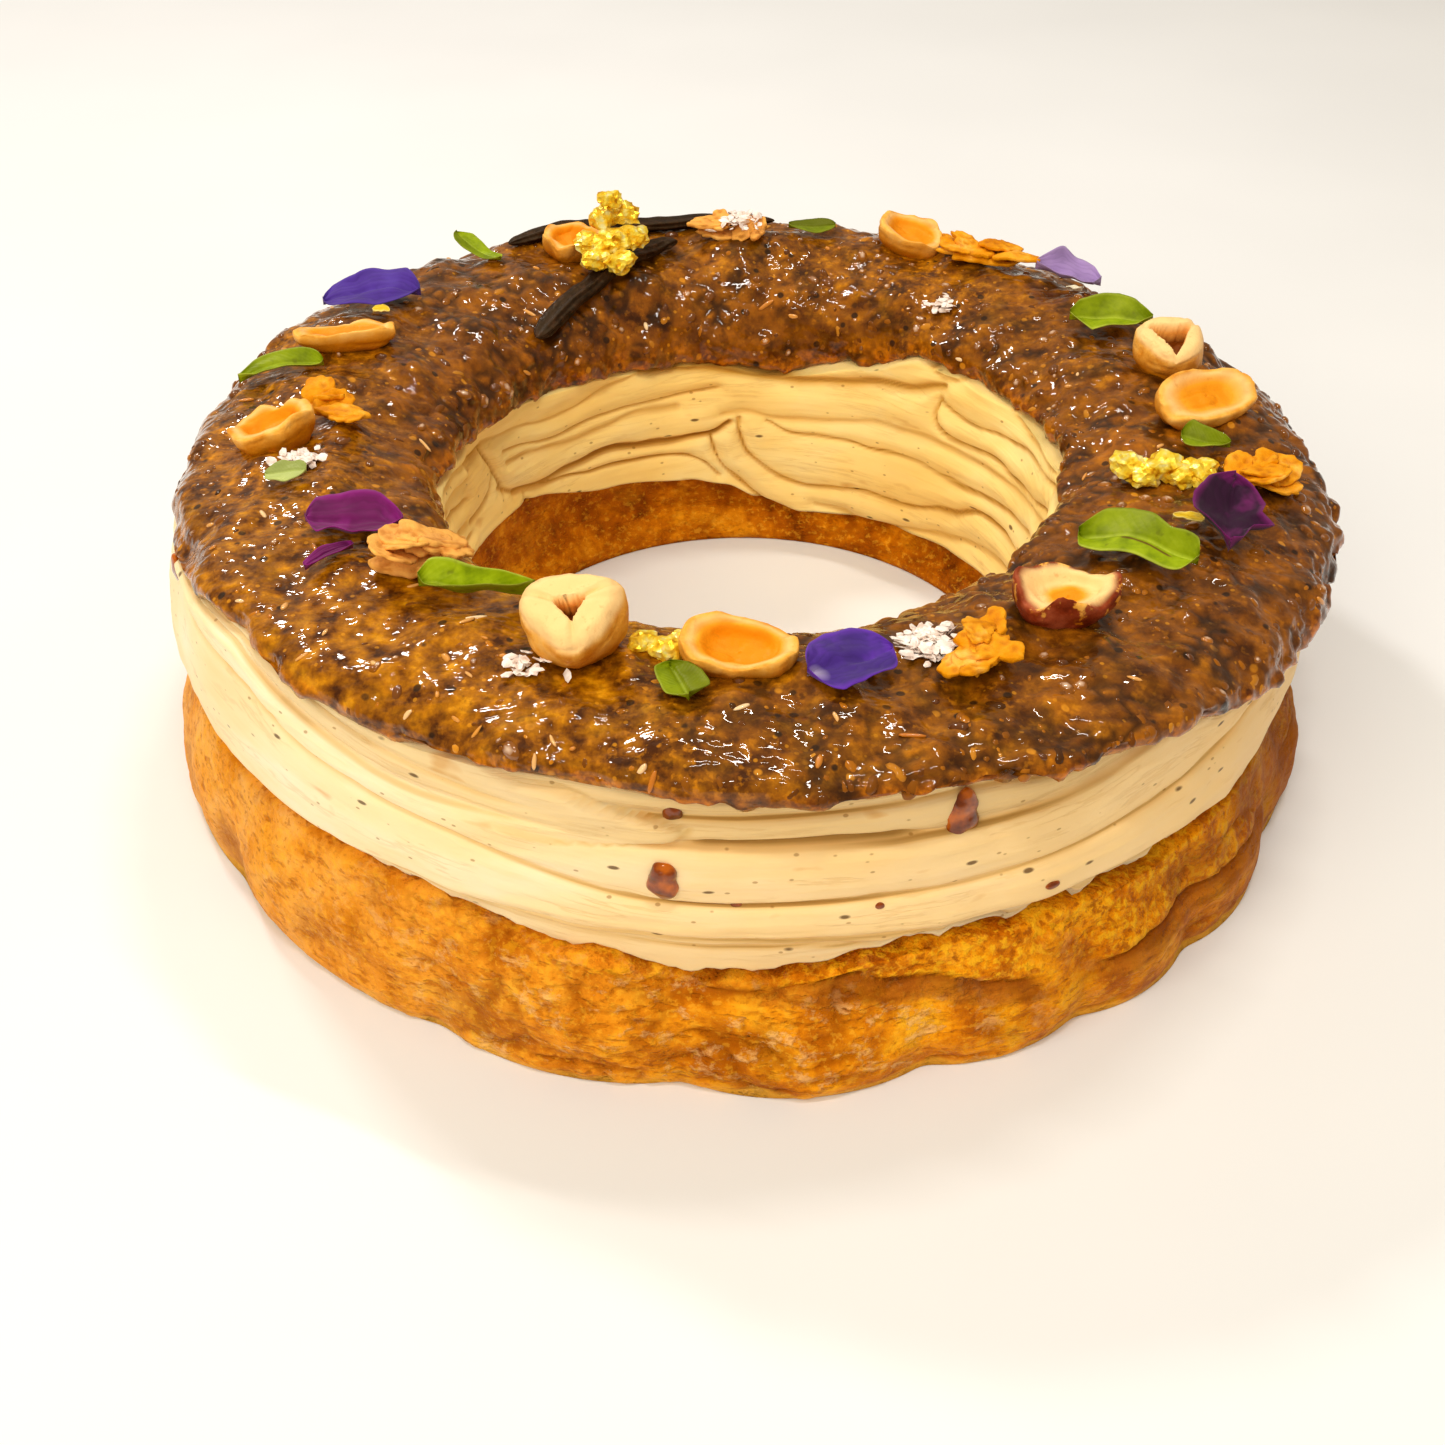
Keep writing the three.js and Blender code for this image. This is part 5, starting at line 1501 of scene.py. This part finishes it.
FLAKES = [
    dict(at=(-52.5, -54), turn=25, length=17.5, width=12, height=7.5, seed=1, shards=8, light=0.7,
         steep=60),
    dict(at=(52.6, 71.5), turn=-8, length=20, width=8, height=4.5, seed=2, shards=6, steep=12),
    dict(at=(91.5, -18), turn=-28, length=16, width=10, height=4.5, seed=3, shards=7),
    dict(at=(-73, -2.6), turn=150, length=15, width=7, height=6, seed=4, shards=5, steep=60),
    dict(at=(34.7, -76.3), turn=62, length=17, width=7.5, height=4.5, seed=5, shards=7),
    dict(at=(-1.5, 82), turn=4, length=17, width=6.5, height=5, seed=6, shards=6, light=0.6),
]
FLAKE_SET = 0.3  # share of its height that a flake's middle stands above the glaze

# Gold leaf: heaps of crumpled lumps, as (across, along, up) from the middle and their size.
GOLD = [
    dict(at=(-27, 66.5), seed=61, lumps=[
        (-3, -5, 3.5, 6), (2, -5.5, 3, 6), (-4.5, 0, 5, 6.5), (0.5, -1, 5.5, 7), (4.5, 1, 5.5, 6),
        (-1.5, 4, 9, 6.5), (3, 4.5, 9.5, 6), (0, 3, 13, 5)]),
    dict(at=(-13.8, -76.5), seed=62, lumps=[
        (-2, 1, 0.8, 4.5), (1.5, -0.5, 0.6, 4.8), (3.5, 2, 0.8, 3)]),
    dict(at=(74.4, -16.3), seed=63, lumps=[
        (-6.5, 2.5, 1.8, 5.8), (-4, -0.5, 1.2, 5.4), (-0.5, 1.2, 1.8, 6.6), (2.5, -1.5, 1.2, 5.4),
        (5.4, -0.5, 1.8, 6.6), (6.6, -3.5, 1.2, 5)]),
]

PODS = [
    dict(radius=1.6, path=[(-49.5, 75.5), (-42, 79.5), (-34, 83.5), (-21, 87), (-8, 89), (8, 93)]),
    dict(radius=1.7, path=[(-13.5, 79), (-19, 75), (-25, 66), (-32, 56), (-38, 46.5), (-41, 41)]),
]
POD_LIFT = 0.3

DROPS = [
    dict(degrees=263, height=39.8, width=4.6, length=7),
    dict(degrees=287.6, height=46, width=4.8, length=10),
    dict(degrees=263.5, height=49.5, width=3, length=4.5),
    dict(degrees=200.5, height=50, width=3.6, length=5),
    dict(degrees=268.8, height=34.6, width=1.6, length=1.2),
    dict(degrees=280.4, height=33.4, width=1.4, length=1.2),
    dict(degrees=295.8, height=29.9, width=2.4, length=1.4),
]

# Heaps of salt flakes: place, reach, number, and lift above the glaze.
SALT = [
    dict(at=(-76.7, -21), reach=3.4, count=60),
    dict(at=(26.5, -74), reach=4.4, count=150),
    dict(at=(-0.5, 82.5), reach=4.5, count=90, lift=3),
    dict(at=(-33, -82), reach=3.2, count=26),
    dict(at=(42.6, 55.8), reach=2.2, count=24),
]


def set_down(points, at, lift):
    """The points moved to a place on the glaze, lifted by so much."""
    return points + (*at, on_cap(*at) + lift)


def face_of(nut, radius):
    """1 in the hollow of a halved nut, 0 on its rim."""
    return step(radius, *nut.get("face", (0.93, 0.55)))


def torn_hole(nut, x, y, share):
    """The three-cornered hole in a nearly whole nut, and the cracks that run from it."""
    middle_x, middle_y, turned_by = nut["torn"]
    off_x, off_y = x - middle_x, y - middle_y
    about = np.arctan2(off_y, off_x)
    third = 2 * np.pi / 3
    off_corner = np.mod(about + turned_by / 3, third) - third / 2
    reach = nut["reach"] * (0.25 + 0.6 / np.cos(off_corner))
    hole = step(np.hypot(off_x, off_y) / reach, 1.05, 0.85) * step(share, 0.45, 0.55)
    cracks = bell(np.sin(1.5 * about + turned_by / 2), 0.1)
    return hole, cracks * step(share, 0.5, 0.62) * (1 - hole)


def build_nut(number, nut, material):
    """A halved hazelnut, or with corners = 1 a nearly whole one with a torn hole."""
    corners, hollow = nut.get("corners", 0), nut["hollow"]
    keys = [(0, -1), (0.6, -0.82), (0.93, -0.4), (1, 0), (0.92, 0.12), (0.68, 0.04)]
    keys += [(0.5, -0.75 * hollow), (0.25, -hollow), (0, -hollow)]
    if corners:
        keys[4:] = [(0.94, 0.3), (0.74, 0.48), (0.36, 0.5), (0, 0.46)]
    profile = curve_through(keys, NUT_ROWS)
    profile[:, 0] = np.maximum(profile[:, 0], 0)
    profile[0, 0] = profile[-1, 0] = 0
    angle = np.radians(turns(NUT_SIDES))[:, None]
    radius, level = profile[None, :, 0], profile[None, :, 1]
    share = np.linspace(0, 1, NUT_ROWS)[None]
    squarish = (np.abs(np.cos(angle)) ** 2.7 + np.abs(np.sin(angle)) ** 2.7) ** (-1 / 2.7)
    uneven = 1 + 0.07 * noise(1.4 * np.cos(angle), 1.4 * np.sin(angle), number * 3.7)
    outline = lerp(squarish, 1, corners) * uneven
    x, y = radius * np.cos(angle) * outline, radius * np.sin(angle) * outline
    turned_by = nut.get("torn", (0, 0, 0))[2]
    cornered = 1 + step(level, -0.4, 0.3) * 0.1 * corners * np.cos(3 * angle + turned_by)
    pointed = 1 - 0.28 * np.maximum(0, x)
    waves = 0.22 * noise(2.4 * np.cos(angle), 2.4 * np.sin(angle), number * 1.9)
    waves = (1 - 0.8 * corners) * nut.get("ragged", 1) * (waves * step(radius, 0.6, 0.95))
    hole, cracked = torn_hole(nut, x, y, share) if corners else (0, 0)
    z = level + waves * step(level, -0.5, 0.05) - 0.55 * hole - 0.12 * cracked
    local = np.stack([x * cornered * nut["length"] / 2,
                      y * cornered * pointed * nut["width"] / 2,
                      z * nut["height"]], -1)
    cracks = bell(lumps(local * (0.35, 1, 1), 2.2, number * 1.3), 0.12)
    relief = 0.32 * lumps(local, 4.5, number * 2.3) + 0.16 * lumps(local, 1.7, number * 3.1)
    relief = relief - 0.22 * cracks
    pits = np.maximum(0, lumps(local, 2.6, number * 4.1))
    relief = relief - nut.get("rough", 0.2) * face_of(nut, radius) * pits
    local = local + grid_normals(local, True, False) * relief[..., None]
    local = turned(local, (nut["lean"][0], "X"), (nut["lean"][1], "Y"), (nut["turn"], "Z"))
    local = set_down(local, nut["at"], NUT_SET * nut["height"])
    inward = step(share, 0.5, 0.6)
    # The rim is pale; under and hole carry painted shade.
    make(f"hazelnut_{number}_toasted", local, grid_faces(NUT_SIDES, NUT_ROWS, True, False),
         material, "hazelnut", [f"hazelnut_{number}"], rim=inward, hole=hole,
         face=face_of(nut, radius) * inward * (1 - corners), under=step(level, 0.2, -0.6))


BLADE_COLUMNS = 44
BLADE_ROWS = 26


def blade(name, shape, thickness, material, slot, stands_for, seed, flutter):
    """A leaf or petal with both its faces, along from one end to the other."""
    along = np.linspace(0, 1, BLADE_COLUMNS)[:, None] + np.zeros((1, BLADE_ROWS))
    across = np.linspace(-1, 1, BLADE_ROWS)[None] + np.zeros((BLADE_COLUMNS, 1))
    length, width = shape["length"], shape["width"]
    rounded = np.clip(1 - np.abs(2 * along - 1) ** 2.4, 0, 1) ** (shape.get("blunt", 0.5) * 0.8)
    if "sides" in shape:
        keys = np.array(shape["sides"], float)
        left, right = (np.interp(along, keys[:, 0], keys[:, side]) for side in (1, 2))
        rounded = np.where(across > 0, left, right)
        rounded = rounded * np.clip((1 - np.abs(2 * along - 1) ** 12), 0, 1)
    edge = 1 + 0.1 * noise(along * 4, np.sign(across) * 3, seed) * np.abs(across)
    half = width / 2 * rounded * edge
    a = (along - 0.5) * length
    b = across * half + 0.06 * width * noise(along * 2, 0 * along, seed + 4)
    b = b + shape.get("bend", 0) * (2 * along - 1) ** 2
    angle = math.radians(shape["turn"])
    x = shape["at"][0] + a * math.cos(angle) - b * math.sin(angle)
    y = shape["at"][1] + a * math.sin(angle) + b * math.cos(angle)
    wave = flutter * noise(along * 3.1, across * 1.4, seed) * np.abs(across)
    wave = wave + 0.2 * flutter * noise(along * 7, across * 3, seed + 8)
    lift = on_cap(x, y) + BLADE_LIFT + shape["curl"] * across ** 2 + 0.35 * noise(x / 4, y / 4, 51)
    lift = lift + shape.get("fold", 0) * np.abs(across)
    lift = lift + shape.get("rise", 0) * along ** 2 + wave - 0.4 * bell(across, 0.12)
    tilt = shape.get("tilt", 0)
    lift = lift + abs(tilt) * (1 + np.sign(tilt) * b / (width / 2)) / 2
    thin = thickness * (0.4 + 0.6 * np.sqrt(np.clip(1 - across ** 2, 0, 1)))
    top = np.stack([x, y, lift + thin / 2], -1)
    under = np.stack([x, y, lift - thin / 2], -1)

    def both(values):
        """The value for the upper face and back along the lower one."""
        return np.concatenate([values, values[:, ::-1]], 1)[:, ::-1]

    # A painted line of shade along a fold: where it lies across the leaf, and where it starts and
    # ends.
    level, start, end = shape.get("line", (0, 2, 3))
    line = bell(across - level, 0.07) * step(along, start, start + 0.04)
    line = line * step(along, end, end - 0.08)
    eye = shape.get("eye", (-9, 0))
    distance = np.hypot((along - eye[0]) * length, (across - eye[1]) * width / 2)
    loop = np.concatenate([top, under[:, ::-1]], 1)[:, ::-1]
    # deep darkens whole leaves and puts painted shade on one half of each.
    make(name, loop, closed_faces(BLADE_COLUMNS, 2 * BLADE_ROWS), material, slot, stands_for,
         along=both(along), across=both(np.abs(across)), pale=shape.get("pale", 0),
         deep=both(np.clip(shape.get("deep", 0) + 0.4 * step(across, 0.0, 0.15), 0, 1)),
         eye=both(distance), line=both(line))


def closed_faces(columns, rows):
    """Faces of a tube of rings with its two ends closed by strips."""
    sides = grid_faces(columns, rows, False, True)
    ends = []
    for start, turn in ((0, 1), ((columns - 1) * rows, -1)):
        for step_in in range(rows // 2 - 1):
            near, far = start + step_in, start + rows - 1 - step_in
            ends.append([near, far, far - 1, near + 1][::turn])
    return np.concatenate([sides, np.array(ends)])


SHARD_PORE = 1.7


def shard(size, seed):
    """A crisp plate with a torn outline and pores."""
    points, faces = ball(4)
    x, y = points[:, 0], points[:, 1]
    reach = np.maximum(np.hypot(x, y), 1e-6)
    torn = 1 + 0.22 * noise(1.6 * x / reach, 1.6 * y / reach, seed)
    torn = torn + 0.13 * noise(4.5 * x / reach, 4.5 * y / reach, seed + 3)
    plate = np.sign(points[:, 2]) * np.abs(points[:, 2]) ** 0.45
    local = np.stack([x * torn, y * torn, plate], -1) * np.array(size) / 2
    near, _ = cells(local, SHARD_PORE, 7.0 + seed)
    bent = 0.08 * size[0] * noise(local[:, 0] / 5, local[:, 1] / 5, seed)
    relief = 0.16 * lumps(local, 1.9, seed) + 0.12 * lumps(local, 0.9, seed)
    relief = relief - 0.26 * step(near, 0.5, 0.25)
    local = local + points * relief[:, None]
    local[:, 2] += bent
    return local, faces, step(near, 0.55, 0.2)


def build_flake(number, flake, material):
    """A heap of crisp shards, the largest one lying flat and the others leaning on it."""
    draw = np.random.default_rng(flake["seed"] + 7)
    length, width, height = flake["length"], flake["width"], flake["height"]
    meshes, pores = [], []
    for index in range(flake["shards"]):
        if index == 0:
            size = (0.85 * length, 0.85 * width, 0.24 * height)
            spot = (0, 0, 0.02 * height)
            lean = 6
        else:
            size = (draw.uniform(0.42, 0.6) * length, draw.uniform(0.6, 0.9) * width,
                    draw.uniform(0.8, 1.5))
            spot = (draw.uniform(-0.34, 0.34) * length, draw.uniform(-0.25, 0.25) * width,
                    draw.uniform(0.1, 0.42) * height)
            lean = draw.uniform(4, flake.get("steep", 20))
        local, ball_faces, pore = shard(size, flake["seed"] + 11.3 * index)
        spin = draw.uniform(0, 360) * min(index, 1)
        local = turned(local, (lean, "XY"[index % 2]), (spin, "Z"))
        meshes.append(turned(local + spot, (flake["turn"], "Z")))
        pores.append(pore)
    points, faces = joined(meshes, ball_faces)
    points = set_down(points, flake["at"], FLAKE_SET * height)
    make(f"crisp_flake_{number}", points, faces, material, "crisp_flake", [f"flake_{number}"],
         pore=np.concatenate(pores), light=flake.get("light", 0))


FOIL_FLATNESS = 0.7
FOIL_FACET = 3.0  # millimetres across
FOIL_CRUMPLE = 0.09


def build_foil(number, foil, material):
    """Crumpled gold leaf: lumps of small flat facets."""
    points, faces = ball(3)
    meshes = []
    for index, (across, along, up, size) in enumerate(foil["lumps"]):
        seed = foil["seed"] + 3.1 * index
        local = points * size / 2
        near, _ = cells(local, FOIL_FACET, seed)
        shape = 1 + 0.34 * noise(1.7 * points[:, 0], 1.7 * points[:, 1], 1.7 * points[:, 2] + seed)
        shape = shape + 0.3 * (0.6 - near) + FOIL_CRUMPLE * rng.normal(size=len(points))
        local = local * shape[:, None]
        local[:, 2] *= FOIL_FLATNESS
        x, y = foil["at"][0] + across, foil["at"][1] + along
        meshes.append(local + (x, y, on_cap(*foil["at"]) + up))
    make(f"gold_leaf_{number}_foil", *joined(meshes, faces), material, "gold_leaf",
         [f"gold_leaf_{number}"], smooth=False)


POD_STEPS = 120
POD_SIDES = 28


def build_pod(number, pod, material):
    """A split vanilla pod, wrinkled lengthwise."""
    path = np.array([(x, y, on_cap(x, y) + pod["radius"] + POD_LIFT) for x, y in pod["path"]])
    spine = curve_through(path, POD_STEPS)
    spine[:, 2] = on_cap(spine[:, 0], spine[:, 1]) + 0.8 * pod["radius"] + POD_LIFT
    forward = np.gradient(spine, axis=0)
    forward /= np.linalg.norm(forward, axis=1, keepdims=True)
    sideways = np.cross(forward, (0, 0, 1))
    sideways /= np.linalg.norm(sideways, axis=1, keepdims=True)
    upward = np.cross(sideways, forward)
    angle = np.radians(turns(POD_SIDES))[None]
    share = np.linspace(0, 1, POD_STEPS)[:, None]
    taper = np.sqrt(np.clip(1 - np.abs(2 * share - 1) ** 6, 0.02, 1))
    wrinkle = 1 + 0.16 * np.cos(7 * angle + 3 * noise(share * 5, 0, number))
    wrinkle = wrinkle + 0.12 * noise(share * 26, angle, number)
    radius = pod["radius"] * taper * wrinkle
    split = 0.35 * bell(angle - np.pi / 2, 0.3)
    across = np.cos(angle) * radius * 1.35
    high = (np.sin(angle) * 0.8 - split) * radius
    loop = spine[:, None] + sideways[:, None] * across[..., None]
    loop = loop + upward[:, None] * high[..., None]
    make(f"vanilla_pod_{number}_wrinkled", loop, closed_faces(POD_STEPS, POD_SIDES), material,
         "vanilla_pod", [f"vanilla_pod_{number}"])


def build_drops(material, wall):
    """Caramel that has run onto the cream."""
    points, faces = ball(4)
    meshes = []
    for drop in DROPS:
        angle = math.radians(drop["degrees"])
        sizes = np.array((0.55 * drop["width"], drop["width"], drop["length"])) / 2
        local = points * sizes
        local[:, 1] *= 1 - 0.18 * points[:, 2]
        local = local + 0.1 * drop["width"] * points * lumps(local, 1.6, drop["degrees"])[:, None]
        local = turned(local, (drop["degrees"], "Z"))
        turn = np.arctan2(wall[..., 1], wall[..., 0]) - angle
        away = np.hypot(CREAM_RADIUS * np.sin(turn), wall[..., 2] - drop["height"])
        away = away + 999 * (np.cos(turn) < 0)
        meshes.append(local + wall[np.unravel_index(np.argmin(away), away.shape)])
    make("caramel_drops", *joined(meshes, faces), material, "praline_glaze")


def build_salt():
    """Heaps of flat, tilted salt flakes."""
    points, faces = ball(1)
    meshes = []
    for heap in SALT:
        for _ in range(heap["count"]):
            spot = rng.normal(0, 0.5, 2) * heap["reach"] + heap["at"]
            size = np.array((rng.uniform(0.5, 1.5), rng.uniform(0.4, 1.0), rng.uniform(0.1, 0.22)))
            local = points * size * (0.7 + 0.6 * rng.random((len(points), 1)))
            local = turned(local, (rng.uniform(-60, 60), "X"), (rng.uniform(0, 360), "Z"))
            meshes.append(set_down(local, spot, heap.get("lift", 0) + rng.uniform(0.5, 1.8)))
    make("salt_flakes", *joined(meshes, faces), crystal_material(), "hazelnut", smooth=False)


def build_toppings(wall):
    """Everything that lies on the glaze, and the caramel on the cream's outer wall."""
    plain, skinned = nut_material("hazelnut_blanched", False), nut_material("hazelnut_skin", True)
    for number, nut in enumerate(HAZELNUTS, 1):
        build_nut(number, nut, skinned if number == WITH_SKIN else plain)
    green = leaf_material()
    for number, leaf in enumerate(LEAVES, 1):
        blade(f"leaf_{number}_green", leaf, LEAF_THICKNESS, green, "leaf", [f"leaf_{number}"],
              number * 5.3, 0.5)
    for number, petal in enumerate(PETALS, 1):
        violet = petal_material(f"petal_{number}_violet", *petal["colours"], petal.get("white", 0))
        blade(f"petal_{number}_velvet", petal, PETAL_THICKNESS, violet, "petal",
              [f"petal_{number}"], number * 7.1, petal.get("crinkle", 1.2))
    for number, claw in enumerate(CLAWS, 1):
        pale = petal_material(f"petal_claw_{number}_soft", *claw["colours"])
        blade(f"petal_claw_{number}", claw, PETAL_THICKNESS, pale, "petal", (), number * 3.7, 0.4)
    kinds = [(build_flake, FLAKES, crisp_material()), (build_foil, GOLD, gold_material()),
             (build_pod, PODS, vanilla_material())]
    for build, things, material in kinds:
        for number, thing in enumerate(things, 1):
            build(number, thing, material)
    build_drops(caramel_material(), wall)
    build_salt()


# ---- Camera, light and floor -------------------------------------------------------------------
IMAGE_SIDE = 1445
FOCAL_PIXELS = 1800
CAMERA_PLACE = (-4.2, -293.8, 214.85)
CAMERA_RIGHT = (0.999982, -0.00366444, -0.00475094)
CAMERA_UP = (0.00599996, 0.61073313, 0.79181377)

ROOM_COLOUR = (1, 0.86, 0.68, 1)
ROOM_STRENGTH = 0.33
# Each lamp's place and what it points at, in metres, its size, power and colour, and whether
# shiny surfaces mirror it.
LAMPS = dict(
    window=((-0.4, 0.5, 0.7), (0, 0, 0.04), (0.1, 0.1), 2.7, (1, 0.96, 0.92), True),
    key=((-0.5, -0.75, 0.75), (0, 0, 0.03), (0.9, 0.9), 8.5, (1, 0.92, 0.78), False),
    lamp=((0.04, -0.3, 0.95), (0, 0, 0.04), (0.24, 0.03), 2.2, (1, 0.96, 0.9), True),
    spot=((0.16, 0.3, 0.95), (0, 0, 0.04), (0.24, 0.03), 2.2, (1, 0.94, 0.86), True),
    fill=((0.7, -0.6, 0.5), (0, 0, 0.03), (0.8, 0.8), 1.2, (1, 0.9, 0.76), False),
)
FLOOR_REACH = 3.0  # metres to each side
FLOOR_LEVEL = -0.0002


def build_camera():
    """The camera that took the picture."""
    lens = bpy.data.cameras.new("camera")
    lens.sensor_fit = "HORIZONTAL"
    lens.angle = 2 * math.atan(IMAGE_SIDE / 2 / FOCAL_PIXELS)
    camera = bpy.data.objects.new("camera", lens)
    right, up = Vector(CAMERA_RIGHT), Vector(CAMERA_UP)
    pose = Matrix([right, up, right.cross(up)]).transposed().to_4x4()
    pose.translation = (Vector(CAMERA_PLACE) + Vector(SHIFT)) / 1000
    camera.matrix_world = pose
    bpy.context.scene.collection.objects.link(camera)
    bpy.context.scene.camera = camera


def area_light(name, place, target, size, power, colour, mirrored):
    """A rectangular lamp pointed at its target."""
    data = bpy.data.lights.new(name, "AREA")
    data.shape = "RECTANGLE"
    data.size, data.size_y = size
    data.energy = power
    data.color = colour
    light = bpy.data.objects.new(name, data)
    light.location = place
    light.visible_glossy = mirrored
    light.rotation_euler = (Vector(target) - Vector(place)).to_track_quat("-Z", "Y").to_euler()
    bpy.context.scene.collection.objects.link(light)


def build_stage():
    """The room's light, its lamps and a pale floor."""
    world = bpy.data.worlds.new("pale_room")
    world.use_nodes = True
    background = world.node_tree.nodes["Background"]
    background.inputs["Color"].default_value = ROOM_COLOUR
    background.inputs["Strength"].default_value = ROOM_STRENGTH
    bpy.context.scene.world = world
    for name, settings in LAMPS.items():
        area_light(name, *settings)

    shader = Shader("pale_floor", PLAIN_SHINE, Roughness=0.6, Specular_IOR_Level=0.2)
    tone = shader.noise(90, 2, 0.4)
    colour = shader.ramp(tone, [(0.3, 234, 236, 238), (0.7, 238, 240, 242)])
    shader.link(colour, "Base Color")
    reach = FLOOR_REACH
    corners = [(-reach, -reach, 0), (reach, -reach, 0), (reach, reach, 0), (-reach, reach, 0)]
    mesh = bpy.data.meshes.new("floor")
    mesh.from_pydata(corners, [], [(0, 1, 2, 3)])
    mesh.materials.append(shader.material)
    floor = bpy.data.objects.new("floor", mesh)
    floor.location.z = FLOOR_LEVEL
    bpy.context.scene.collection.objects.link(floor)


build_camera()
build_base()
wall = build_cream()
surface = build_cap()
build_grains(surface)
build_bubbles(surface)
build_slivers(surface)
build_toppings(wall)
build_stage()
bpy.context.scene.view_settings.view_transform = "Standard"
